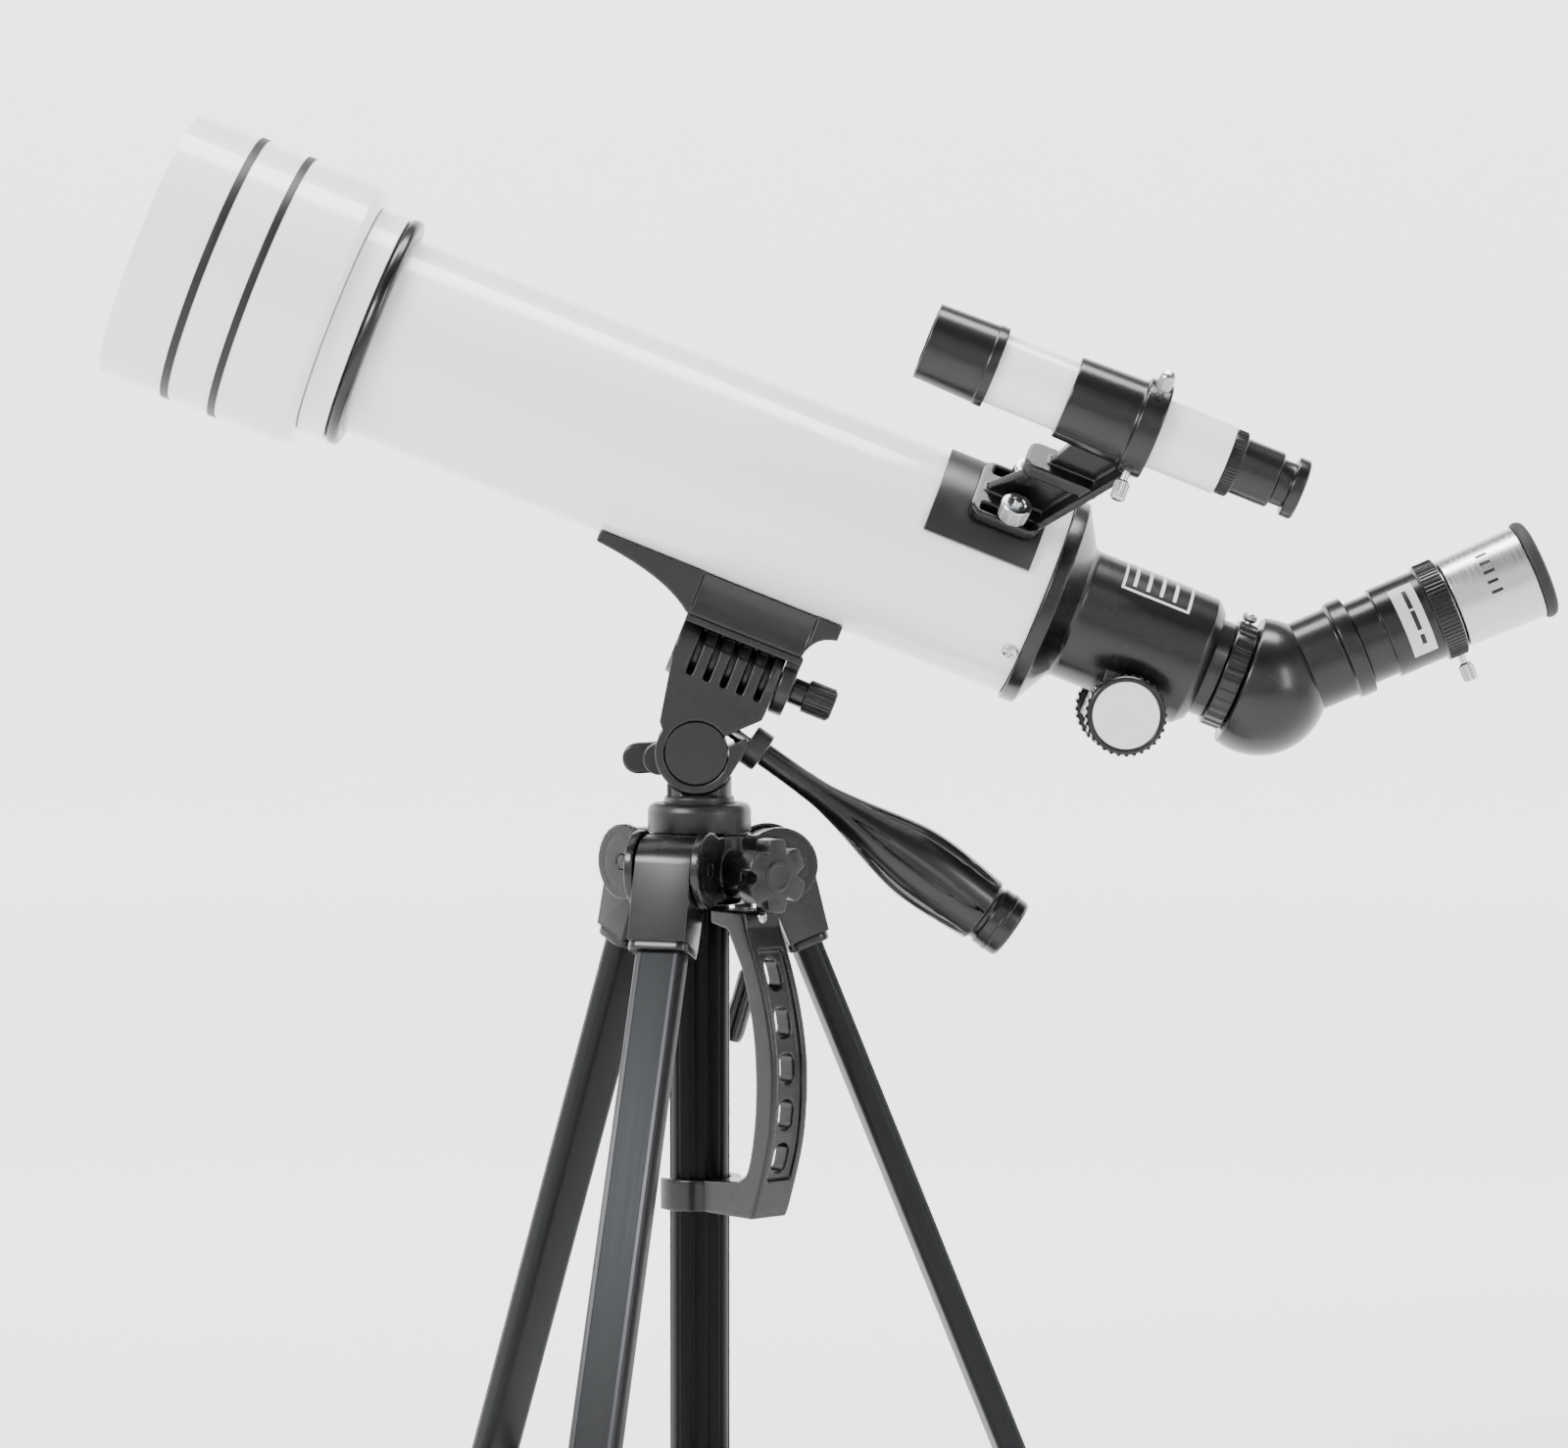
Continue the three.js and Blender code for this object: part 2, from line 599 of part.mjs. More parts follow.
// Pan neck: a turned stem, a cross trunnion for the clamp ring, measured from
// the tilt pivot; the stem turns about the column's axis
function panNeck() {
  const x = -PIVOT_X;
  const stem = turned([
    [0, -21.3], [13.8, -21.3], [13.8, -17.4], [NECK_RADIUS, -17.2], [NECK_RADIUS, -6], [0, -6],
  ]);
  stem.translate(x, 0, 0);
  const room = rodY(LOBE_RADIUS + 0.5, -30, 30, ROUND);
  const window = block(x - 9, x + 9, -14, -11.4, -16, -8);
  const bossRoom = rodY(LOCK_BOSS_RADIUS + 15.6, 6.3, 30, ROUND);
  const neck = carve([stem], [room, bossRoom, window]);
  const trunnion = rodY(TRUNNION_RADIUS, -BLOCK_HALF + 0.2, BLOCK_HALF - 0.2, ROUND);
  const tongue = block(-11.3, 11.3, -6, 6, -19, -2);
  return piece('pan_neck', carve([neck, trunnion, tongue]), gloss.satin);
}

// ------------------------------------------------------------------- tripod

// Measured from the height of the leg hinges
function centreColumn() {
  const top = PIVOT_HEIGHT - HINGE_HEIGHT;
  const bottom = 110 - HINGE_HEIGHT;
  return piece('centre_column', turned([
    [0, top - 21.7], [14.3, top - 21.7], [14.9, top - 19.9], [17.2, top - 19.7],
    [19.4, top - 20.6], [COLLAR_RADIUS, top - 22.8], [COLLAR_RADIUS, top - 31.2],
    [COLUMN_RADIUS, top - 31.2], [COLUMN_RADIUS, bottom], [COLUMN_RADIUS - 1.4, bottom],
    [COLUMN_RADIUS - 1.4, top - 27], [0, top - 27],
  ]), gloss.satin);
}

// A piece made in the plane of +X, turned to an azimuth about the column
function atAzimuth(geometry, azimuth) {
  return geometry.rotateZ(degrees(azimuth));
}

function shoulder() {
  const [top, bottom] = [12.3, -15];
  const core = turned([
    [0, bottom], [18.5, bottom], [20.5, bottom + 3], [20.5, top], [0, top],
  ]);
  const earShape = new THREE.Shape();
  earShape.moveTo(10, -13);
  earShape.lineTo(HINGE_RADIUS - 7.5, -13);
  earShape.absarc(HINGE_RADIUS, 0, EAR_RADIUS, -Math.PI * 2 / 3, Math.PI * 0.7, false);
  earShape.lineTo(10, 12.1);
  const joined = [core];
  const pockets = [];
  for (const azimuth of Object.values(LEG_AZIMUTHS)) {
    for (const side of [-1, 1]) {
      const [y0, y1] = side < 0 ? [-15.3, -11.9] : [11.9, 15.3];
      joined.push(atAzimuth(slab(earShape, y0, y1, 6), azimuth));
    }
    const pocket = rodY(KNUCKLE_RADIUS + 0.4, -12.1, 12.1, ROUND).translate(HINGE_RADIUS, 0, 0);
    const pin = rodY(3.2, -18, 18, SMALL).translate(HINGE_RADIUS, 0, 0);
    pockets.push(atAzimuth(pocket, azimuth), atAzimuth(pin, azimuth));
    const swing = block(20.7, 60, -12.1, 12.1, -40, -8);
    pockets.push(atAzimuth(swing, azimuth));
  }
  joined.push(atAzimuth(rodX(8.5, 12, 35, ROUND).translate(0, 0, -2), KNOB_AZIMUTH));
  joined.push(atAzimuth(rodX(8, 12, 29, ROUND).translate(0, 0, -2), CRANK_AZIMUTH));
  const bores = [
    rod(GUIDE_RADIUS + FIT, -30, 9.5, ROUND),
    rod(COLUMN_RADIUS + 0.4, 0, 20, ROUND),
    atAzimuth(rodX(3.3, 5, 45, SMALL).translate(0, 0, -2), KNOB_AZIMUTH),
    atAzimuth(rodX(3.3, 5, 45, SMALL).translate(0, 0, -2), CRANK_AZIMUTH),
  ];
  return piece('shoulder', carve(joined, [...pockets, ...bores]), gloss.black);
}

function guideTube() {
  const bottom = GUIDE_BOTTOM - HINGE_HEIGHT;
  const shell = ring(COLUMN_RADIUS + 0.5, GUIDE_RADIUS, bottom, 9.2);
  const holes = [
    atAzimuth(rodX(3.3, 5, 20, SMALL).translate(0, 0, -2), KNOB_AZIMUTH),
    atAzimuth(rodX(3.3, 5, 20, SMALL).translate(0, 0, -2), CRANK_AZIMUTH),
  ];
  return piece('guide_tube', carve([shell], holes), gloss.satin);
}

function starKnob() {
  const shape = new THREE.Shape();
  const lobes = 6;
  for (let i = 0; i < lobes * 6; i += 1) {
    const angle = (i / (lobes * 6)) * Math.PI * 2;
    const radius = 12.6 + 1.9 * Math.cos(angle * lobes);
    const point = [radius * Math.cos(angle), radius * Math.sin(angle)];
    if (i === 0) shape.moveTo(...point);
    else shape.lineTo(...point);
  }
  const options = { depth: 8.5, bevelEnabled: false };
  const head = new THREE.ExtrudeGeometry(shape, options).rotateY(Math.PI / 2).translate(38.5, 0, 0);
  const stem = rodX(3, 10.4, 39, SMALL);
  const hub = rodX(7, 35.3, 39, MIDDLE);
  const cap = rodX(3.6, 46, 48, SMALL);
  const made = carve([head, stem, hub, cap]).translate(0, 0, -2);
  return piece('star_knob', atAzimuth(made, KNOB_AZIMUTH), gloss.black);
}

// The crank hangs folded behind the column, its grip turned back along the arm
const CRANK_PLANE = 43.5;
const crankLean = degrees(-9.5);
const gripLean = degrees(198.3);
const gripStart = new THREE.Vector3(CRANK_PLANE, -7, -44);

function crankArm() {
  const shaft = rodX(3, 10.4, CRANK_PLANE, SMALL).translate(0, 0, -2);
  const hub = rodX(6.5, 30, CRANK_PLANE + 2.5, MIDDLE).translate(0, 0, -2);
  const bar = block(-1.9, 1.9, -3.8, 3.8, -42, 2);
  bar.rotateX(crankLean).translate(CRANK_PLANE, 0, -2);
  const pin = rod(1.5, -3, 19, SMALL).rotateX(gripLean);
  pin.translate(gripStart.x, gripStart.y, gripStart.z);
  return piece('crank_arm', atAzimuth(carve([shaft, hub, bar, pin]), CRANK_AZIMUTH), gloss.satin);
}

function crankKnob() {
  const grip = turned([
    [1.8, 2.4], [4.2, 2.4], [4.9, 3.6], [4.9, 29], [4.1, 31], [0, 31], [0, 22], [1.8, 22],
  ], MIDDLE);
  grip.rotateX(gripLean).translate(gripStart.x, gripStart.y, gripStart.z);
  return piece('crank_knob', atAzimuth(grip, CRANK_AZIMUTH), gloss.black);
}

// Carry handle: a bowed grip between a bracket under the shoulder and a clip
// on the guide tube, with five finger holes
function carryHandle() {
  const shape = new THREE.Shape();
  shape.moveTo(17, -16);
  shape.lineTo(37, -16);
  shape.lineTo(38.5, -22);
  shape.splineThru([[47, -42], [52.6, -62], [54.4, -80.5], [52, -105], [43.5, -131]].map(
    ([r, z]) => new THREE.Vector2(r, z),
  ));
  shape.lineTo(41.5, -135);
  shape.lineTo(13, -135);
  shape.lineTo(13, -122.5);
  shape.lineTo(33, -121);
  shape.splineThru([[39, -116], [43, -98], [43.8, -78], [41.4, -58], [35.5, -38]].map(
    ([r, z]) => new THREE.Vector2(r, z),
  ));
  shape.lineTo(27, -23.5);
  shape.lineTo(17, -21.5);
  const bow = slab(shape, -9, 9, 3);
  const clip = ring(GUIDE_RADIUS + 0.4, 16.4, -135, -122.5, 36);
  const holes = [-40, -58.3, -76, -93.9, -111].map((z) => (
    roundedBar(7, 12, 3.4, 30, 60).rotateY(Math.PI / 2).rotateX(Math.PI / 2).translate(0, 0, z)
  ));
  const bore = rod(GUIDE_RADIUS + 0.4, -140, 0, ROUND);
  const mouth = block(-40, 2, -13, 9, -140, -118).rotateZ(degrees(14));
  const trimmed = carve([clip], [mouth]);
  const made = carve([bow, trimmed], [bore, ...holes]);
  return piece('carry_handle', atAzimuth(made, KNOB_AZIMUTH), gloss.black);
}

// One leg, made hanging down -Z from its hinge with +X outwards
function upperLeg(label) {
  const knuckle = rodY(KNUCKLE_RADIUS, -11.7, 11.7, ROUND);
  const pin = rodY(2.9, -15.2, 15.2, SMALL);
  const sleeve = roundedBar(15, SLEEVE_WIDTH, 4, -31, -6);
  const rim = roundedBar(16.6, 24.6, 4.5, -34.5, -30.5);
  const tube = roundedBar(LEG_DEPTH, LEG_WIDTH, 3.5, LOCK_TOP - 4, -20);
  const lock = roundedBar(15, 24, 4, LOCK_BOTTOM, LOCK_TOP);
  const lugs = block(7, 11.5, -6.5, 6.5, -318, LOCK_TOP - 2);
  const bore = roundedBar(LEG_DEPTH - 2 * LEG_WALL, LEG_WIDTH - 2 * LEG_WALL, 2.4, -340, -40);
  const room = block(7.6, 14, -4.4, 4.4, -340, -300);
  const made = carve([knuckle, pin, sleeve, rim, tube, lock, lugs], [bore, room]);
  return piece(`leg_upper_${label}`, made, gloss.graphite);
}

function legLever(label) {
  const barrel = rodY(3, -4.1, 4.1, SMALL).translate(10.9, 0, -313);
  const arm = slab(outline([[8.3, -313], [13.9, -313], [12.6, -337], [9.2, -337]]), -4.1, 4.1);
  return piece(`leg_lever_${label}`, carve([barrel, arm]), gloss.black);
}

function lowerLeg(label) {
  const tube = roundedBar(LEG_DEPTH - 2 * LEG_WALL - 0.7, LEG_WIDTH - 2 * LEG_WALL - 0.7, 2.1,
    -LEG_LENGTH + 10, -62);
  return piece(`leg_lower_${label}`, tube, gloss.graphite);
}

// Foot: a rubber shoe, cut flat along the floor
function foot(label) {
  const shoe = roundedBar(14, 22, 4, -LEG_LENGTH - 12, -LEG_LENGTH + 22);
  const socket = roundedBar(LEG_DEPTH - 2 * LEG_WALL - 0.1, LEG_WIDTH - 2 * LEG_WALL - 0.1, 2.1,
    -LEG_LENGTH + 9.7, -LEG_LENGTH + 30);
  const floor = block(-60, 60, -60, 60, -60, 0);
  floor.rotateY(degrees(LEG_TILT)).translate(0, 0, -LEG_LENGTH);
  return piece(`foot_${label}`, carve([shoe], [socket, floor]), gloss.rubber);
}

// Brace: a plate at the hub that forks into two straps beside the leg
function brace(label) {
  const pinX = HINGE_RADIUS + BRACE_ON_LEG * Math.sin(degrees(LEG_TILT));
  const pinZ = HINGE_HEIGHT - BRACE_ON_LEG * Math.cos(degrees(LEG_TILT));
  const run = pinX - HUB_PIN_RADIUS;
  const drop = HUB_HEIGHT - pinZ;
  const length = Math.hypot(run, drop);
  const eye = rodY(3.4, -4, 4, SMALL);
  const stalk = block(0, 12, -4, 4, -1.8, 1.8);
  const bridge = block(8, 34, -12.6, 12.6, -1.6, 1.6);
  const straps = [-1, 1].map((side) => {
    const [y0, y1] = side < 0 ? [-12.6, -10.5] : [10.5, 12.6];
    return carve([
      block(12, length, y0, y1, -3.6, 3.6),
      rodY(3.6, y0, y1, SMALL).translate(length, 0, 0),
    ]);
  });
  const made = carve([eye, stalk, bridge, ...straps], [rodY(1.8, -10, 10, SMALL)]);
  const mesh = piece(`brace_${label}`, made, gloss.graphite);
  mesh.rotation.y = Math.atan2(drop, run);
  mesh.position.set(HUB_PIN_RADIUS, 0, HUB_HEIGHT);
  return mesh;
}

function spreaderHub() {
  const body = rod(17, -7, 7, ROUND);
  const joined = [body];
  const cuts = [rod(GUIDE_RADIUS + 0.4, -20, 20, ROUND)];
  for (const azimuth of Object.values(LEG_AZIMUTHS)) {
    joined.push(atAzimuth(block(12.5, 25.5, -7, 7, -5, 5), azimuth));
    cuts.push(atAzimuth(block(17.8, 40, -4.4, 4.4, -10, 10), azimuth));
  }
  let made = carve(joined, cuts);
  const pins = Object.values(LEG_AZIMUTHS).map((azimuth) => (
    atAzimuth(rodY(1.5, -6, 6, SMALL).translate(HUB_PIN_RADIUS, 0, 0), azimuth)
  ));
  made = carve([made, ...pins]).translate(0, 0, HUB_HEIGHT);
  return piece('spreader_hub', made, gloss.black);
}

// ----------------------------------------------------------------- assembly

const tube = group(0, 0, AXIS_V,
  mainTube(), objectiveCell(), objectiveLens(), cellRing(), dewShield(), rearScrew(),
  focuserHousing(), drawtube(), focusShaft(), focusKnob(), drawtubeCollar(), collarScrew(),
  diagonalHousing(), diagonalPrism(), barlowBody(), barlowScrew(), eyepieceBarrel(),
  eyepieceLens(), eyeCup(),
);

const finder = group(0, 0, AXIS_V,
  finderBase(), finderBracket(), finderTube(), finderHood(), finderLens(), finderEyepiece(),
  ...Object.entries(STUD_SIDES).map(([label, y]) => finderNut(y, label)),
  ...Object.entries(FINDER_SCREW_ANGLES).map(([label, angle]) => finderScrew(angle, label)),
);
finder.rotation.x = degrees(FINDER_ANGLE);

const telescope = group(PIVOT_X, 0, PIVOT_HEIGHT,
  tube, finder, saddle(), flipPlatform(), flipKnob(), tiltBlock(), tiltLock(), panHandle(),
);
telescope.rotation.y = degrees(ELEVATION);

const head = group(PIVOT_X, 0, PIVOT_HEIGHT, panNeck());

const stand = group(0, 0, HINGE_HEIGHT,
  centreColumn(), shoulder(), guideTube(), starKnob(), crankArm(), crankKnob(), carryHandle(),
);

const legs = Object.entries(LEG_AZIMUTHS).map(([label, azimuth]) => {
  const leg = group(HINGE_RADIUS, 0, HINGE_HEIGHT,
    upperLeg(label), legLever(label), lowerLeg(label), foot(label),
  );
  leg.rotation.y = -degrees(LEG_TILT);
  const plane = group(0, 0, 0, leg, brace(label));
  plane.rotation.z = degrees(azimuth);
  return plane;
});

const object = group(0, 0, 0, telescope, head, stand, spreaderHub(), ...legs);

// Origin at the middle of the bounding box, at floor level
const bounds = new THREE.Box3().setFromObject(object, true);
const middle = bounds.getCenter(new THREE.Vector3());
object.position.set(-middle.x, -middle.y, -bounds.min.z);

export default object;
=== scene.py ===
# %% [markdown]
# # A small refractor telescope on its tripod
# The engineering model gives every place and every size. This notebook gives the
# looks: finely turned enamelled tubes, moulded black plastic, bright screws, and the
# studio that they stand in. The frame is loaded first, and nothing in it is moved.

# %% Load the frame
import json
import math
import bpy
import bmesh
from mathutils import Matrix, Vector


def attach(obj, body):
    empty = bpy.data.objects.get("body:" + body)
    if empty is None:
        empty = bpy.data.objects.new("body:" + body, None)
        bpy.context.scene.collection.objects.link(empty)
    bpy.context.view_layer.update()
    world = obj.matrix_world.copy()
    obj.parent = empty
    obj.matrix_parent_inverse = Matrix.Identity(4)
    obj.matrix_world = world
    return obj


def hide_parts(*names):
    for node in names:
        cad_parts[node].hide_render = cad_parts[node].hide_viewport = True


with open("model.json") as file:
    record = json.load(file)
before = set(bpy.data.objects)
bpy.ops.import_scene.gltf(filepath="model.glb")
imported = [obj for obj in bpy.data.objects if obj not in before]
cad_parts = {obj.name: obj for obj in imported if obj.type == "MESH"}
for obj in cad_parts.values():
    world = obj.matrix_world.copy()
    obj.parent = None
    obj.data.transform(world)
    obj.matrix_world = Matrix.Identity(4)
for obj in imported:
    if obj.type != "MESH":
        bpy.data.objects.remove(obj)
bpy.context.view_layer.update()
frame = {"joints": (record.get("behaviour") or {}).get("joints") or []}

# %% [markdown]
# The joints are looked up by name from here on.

joints = {joint["name"]: joint for joint in frame["joints"]}

# %% [markdown]
# ## Local frames
# Each sub-assembly is drawn in millimetres in a frame of its own, the way a maker
# would draw it: the tube along X, a leg hanging down -Z. A matrix then carries the
# finished mesh to its place in metres. The matrices come from the joints, so a piece
# lands where the frame says.

# %% Frames of the telescope, the finder, the angled barrel and the stand
MM = Matrix.Scale(0.001, 4)


def shift(x, y, z):
    return Matrix.Translation((x, y, z))


def swivel(degrees, axis):
    return Matrix.Rotation(math.radians(degrees), 4, axis)


def axis_of(joint):
    return Vector(joints[joint]["axis"]).normalized()


def place_of(joint):
    return Vector(joints[joint]["pos_m"])


def frame_at(origin, x_axis, z_axis):
    y_axis = z_axis.cross(x_axis)
    turn = Matrix((x_axis, y_axis, z_axis)).transposed().to_4x4()
    return Matrix.Translation(origin) @ turn @ MM


along = axis_of("focus_slide")
upright = along.cross(Vector((0, 1, 0)))
AXIS_RISE = 105.5
telescope = frame_at(place_of("tilt"), along, upright)
tube = telescope @ shift(0, 0, AXIS_RISE)
finder = tube @ swivel(45, "X")
FINDER_RISE = 106
scope = finder @ shift(0, 0, FINDER_RISE)
MIRROR_X = 194.8
barrel = tube @ shift(MIRROR_X, 0, 0) @ swivel(45, "Y")
hinge_height = place_of("fold_right").z
HINGE_MM = 342
column_foot = Vector((place_of("pan").x, place_of("pan").y, hinge_height))
stand = Matrix.Translation(column_foot) @ MM
head = Matrix.Translation(place_of("tilt")) @ MM
print("tube axis", [round(value, 4) for value in along], "hinge height", round(hinge_height, 4))


# %% [markdown]
# The three legs hang from hinges round the column, so each has a frame turned to its
# own azimuth and tilted outwards. Only the azimuth differs.

# %% Frames that hang from an azimuth round the column
def facing(joint, height=0.0):
    """X points outwards along the joint's own azimuth; z is measured from the hinges."""
    outward = (place_of(joint) - column_foot) * Vector((1, 1, 0))
    turn = Matrix.Rotation(math.atan2(outward.y, outward.x), 4, "Z")
    return stand @ turn @ shift(0, 0, height)


LEG_TILT = math.radians(22.1)
HINGE_REACH = 29.4
LEG_NAMES = ("right", "back", "front")


def leg_frame(name):
    hang = Matrix.Rotation(-LEG_TILT, 4, "Y")
    return facing(f"fold_{name}") @ shift(HINGE_REACH, 0, 0) @ hang


for name in LEG_NAMES:
    print("leg", name, "hangs from", [round(v, 3) for v in leg_frame(name).translation])

# %% [markdown]
# ## Finishes
# Enamel, moulded plastic, rubber, printed film, metal and glass cover the telescope.
# Colours are sRGB hex values, turned linear by one function. Grain that follows a part,
# such as brushing along a leg, reads the attribute `local`, which holds each point's
# place in the part's own drawing, in millimetres. Even grain reads Object coordinates.


# %% Colour and node helpers
def linear(code):
    values = [int(code[i:i + 2], 16) / 255 for i in (1, 3, 5)]
    steps = [v / 12.92 if v <= 0.04045 else ((v + 0.055) / 1.055) ** 2.4 for v in values]
    return (*steps, 1.0)


def add(tree, kind, inputs=None, **settings):
    """Adds one node. A setting is a property; an input is a value or another node's output."""
    made = tree.nodes.new(kind)
    for name, value in settings.items():
        setattr(made, name, value)
    for name, value in (inputs or {}).items():
        if isinstance(value, bpy.types.NodeSocket):
            tree.links.new(value, made.inputs[name])
        else:
            made.inputs[name].default_value = value
    return made


def blank(name):
    material = bpy.data.materials.new(name)
    material.use_nodes = True
    material.node_tree.nodes.clear()
    return material, material.node_tree


def principled(tree, inputs):
    shader = add(tree, "ShaderNodeBsdfPrincipled", inputs)
    add(tree, "ShaderNodeOutputMaterial", {"Surface": shader.outputs["BSDF"]})


def object_place(tree):
    return add(tree, "ShaderNodeTexCoord").outputs["Object"]


def noise(tree, vector, scale, **more):
    inputs = {"Vector": vector, "Scale": scale, **more}
    return add(tree, "ShaderNodeTexNoise", inputs).outputs["Fac"]


def between(tree, factor, low, high):
    """A colour between two hex values."""
    return add(tree, "ShaderNodeMix", {"Factor": factor, 6: linear(low), 7: linear(high)},
               data_type="RGBA").outputs[2]


def ranged(tree, value, start, end, low, high):
    """Carries a value from start...end to low...high."""
    return add(tree, "ShaderNodeMapRange", {
        "Value": value, "From Min": start, "From Max": end,
        "To Min": low, "To Max": high}).outputs["Result"]


def bumped(tree, height, strength, distance):
    return add(tree, "ShaderNodeBump", {
        "Strength": strength, "Distance": distance, "Height": height}).outputs["Normal"]


print("white is", [round(v, 3) for v in linear("#F4F4F5")])

# %% [markdown]
# ### Enamel and moulded plastic
# The white tube is aluminium under stoved gloss enamel: very smooth, with a faint
# orange peel about 2 mm across and a clear, sharp reflection. The black parts are ABS
# from polished or spark-eroded moulds, so they differ only in colour, gloss and grain.
# One function serves them all: a grain size in millimetres, a depth and two tones.


# %% A smooth or grained coloured surface
def coloured(name, tones, roughness, grain_mm, depth, coat=0.0):
    material, tree = blank(name)
    where = object_place(tree)
    clouds = noise(tree, where, 22.0, Detail=3.0)
    grain = noise(tree, where, 1000 / grain_mm, Detail=2.0)
    principled(tree, {
        "Base Color": between(tree, clouds, *tones),
        "Roughness": ranged(tree, clouds, 0.3, 0.7, roughness - 0.03, roughness + 0.04),
        "Normal": bumped(tree, grain, depth, 0.0001),
        "Coat Weight": coat, "Coat Roughness": 0.06})
    return material


white_enamel = coloured("white_stoved_enamel", ("#FBFBFC", "#F6F6F8"), 0.2, 2.0, 0.06, 0.5)
gloss_abs = coloured("polished_black_abs", ("#060607", "#0B0B0C"), 0.26, 1.4, 0.12, 0.1)
satin_nylon = coloured("glass_filled_nylon", ("#111112", "#171718"), 0.36, 0.5, 0.3)
black_band = coloured("black_printed_band", ("#08080A", "#0C0C0D"), 0.45, 1.0, 0.1)
soft_rubber = coloured("moulded_black_rubber", ("#141414", "#1B1B1B"), 0.62, 0.6, 0.5)
baffle_black = coloured("flat_black_baffle_paint", ("#0C0C0D", "#111112"), 0.8, 0.5, 0.6)
pale_insert = coloured("satin_grey_insert", ("#D9DBDE", "#E1E3E6"), 0.42, 0.6, 0.1)
label_grey = coloured("silver_label_film", ("#C9CBCD", "#D6D8DA"), 0.38, 1.0, 0.1)
print("coloured finishes", [m.name for m in bpy.data.materials][-8:])

# %% [markdown]
# ### Metal
# Legs are drawn aluminium tube, dyed dark in anodising: a grey metal with fine lines
# along the draw. Eyepiece, nuts and screws are turned and nickel plated: fine lines
# round the axis. Both stretch a noise texture, one along and one across the local axis.
# Real tool lines are near 0.05 mm apart, too fine to show, so they are drawn at 0.3 mm.


# %% A drawn or turned metal
def metal(name, tones, roughness, stretch, depth):
    material, tree = blank(name)
    own = add(tree, "ShaderNodeAttribute", attribute_name="local")
    sized = add(tree, "ShaderNodeMapping", {"Vector": own.outputs["Vector"], "Scale": stretch})
    lines = noise(tree, sized.outputs["Vector"], 1.0, Detail=4.0, Roughness=0.6)
    principled(tree, {
        "Base Color": between(tree, lines, *tones), "Metallic": 1.0,
        "Roughness": ranged(tree, lines, 0.3, 0.7, roughness - 0.05, roughness + 0.07),
        "Normal": bumped(tree, lines, depth, 0.00005)})
    return material


LINES = 1 / 0.3
DRAWN, TURNED = (LINES, LINES, 0.02), (0.05, 0.05, LINES)
anodised = metal("dark_anodised_aluminium", ("#232425", "#303132"), 0.44, DRAWN, 0.3)
# A lighter, glossier copy of the anodised metal: on the leg edges its tone is a painted highlight,
# and the slimmer lower tubes are drawn in it.
edge_highlight_and_slide_metal = metal("lighter_anodised_edge_highlight_and_slide", ("#323334", "#424345"), 0.38, DRAWN, 0.3)
column_metal = metal("black_anodised_tube", ("#151617", "#1F2021"), 0.34, DRAWN, 0.2)
nickel = metal("turned_nickel_plate", ("#B9BBBE", "#CFD1D3"), 0.2, TURNED, 0.2)
brushed = metal("brushed_bright_barrel", ("#BFC1C3", "#D3D5D7"), 0.27, TURNED, 0.35)
print("metals", anodised.name, nickel.name)

# %% [markdown]
# ### Coated glass
# The lenses are crown glass with an anti-reflection coating, which leaves a faint
# violet reflection. A coat with a tint gives that over clear glass.


# %% Lens glass
def lens_glass(name, tint):
    material, tree = blank(name)
    film = noise(tree, object_place(tree), 15.0)
    principled(tree, {
        "Base Color": between(tree, film, tint, "#E8EEF2"), "Roughness": 0.03, "IOR": 1.52,
        "Transmission Weight": 0.9, "Coat Weight": 0.6, "Coat Roughness": 0.02})
    return material


objective_glass = lens_glass("coated_crown_glass", "#C9C6E6")
ocular_glass = lens_glass("coated_eye_lens", "#BFD4DE")
print("glass ready")

# %% [markdown]
# ## Drawing shapes
# Nearly every part was turned on a lathe or pressed in a mould. A turned part is a
# profile of (radius, height) points swept round Z. The corners are softened first,
# because a real edge is never sharp and the small round catches the light.


# %% Softened profiles and turned parts
def softened(points, edge, closed=True):
    """Replaces each corner of an outline with a short curve."""
    result = []
    count = len(points)
    for i, corner in enumerate(points):
        here = Vector(corner)
        if not closed and i in (0, count - 1):
            result.append(tuple(here))
            continue
        before, after = Vector(points[i - 1]) - here, Vector(points[(i + 1) % count]) - here
        reach = min(edge, 0.45 * before.length, 0.45 * after.length)
        if reach < 1e-4 or before.angle(after) > 2.95:
            result.append(tuple(here))
            continue
        start, end = here + before.normalized() * reach, here + after.normalized() * reach
        for step in (0, 0.25, 0.5, 0.75, 1):
            mixed = start.lerp(here, step).lerp(here.lerp(end, step), step)
            result.append(tuple(mixed))
    return result


def turned(profile, edge=0.35, sides=96, relief=None):
    """A closed solid round Z. A relief takes (angle, height) and returns a depth."""
    on_axis = profile[0][0] == 0 and profile[-1][0] == 0
    points = softened(profile, edge, closed=not on_axis)
    made = bmesh.new()
    loops = []
    for radius, height in points:
        if radius < 1e-6:
            loops.append([made.verts.new((0, 0, height))])
            continue
        loop = []
        for i in range(sides):
            angle = 2 * math.pi * i / sides
            reach = radius - (relief(angle, height) if relief else 0)
            loop.append(made.verts.new((reach * math.cos(angle), reach * math.sin(angle), height)))
        loops.append(loop)
    pairs = zip(loops, loops[1:]) if on_axis else zip(loops, loops[1:] + loops[:1])
    for low, high in pairs:
        for i in range(sides):
            j = (i + 1) % sides
            ring = [low[i % len(low)], low[j % len(low)], high[j % len(high)], high[i % len(high)]]
            corners = list(dict.fromkeys(ring))
            if len(corners) > 2:
                made.faces.new(corners)
    bmesh.ops.recalc_face_normals(made, faces=made.faces)
    return made


def rod(radius, low, high, edge=0.3, sides=64):
    return turned([(0, low), (radius, low), (radius, high), (0, high)], edge, sides)


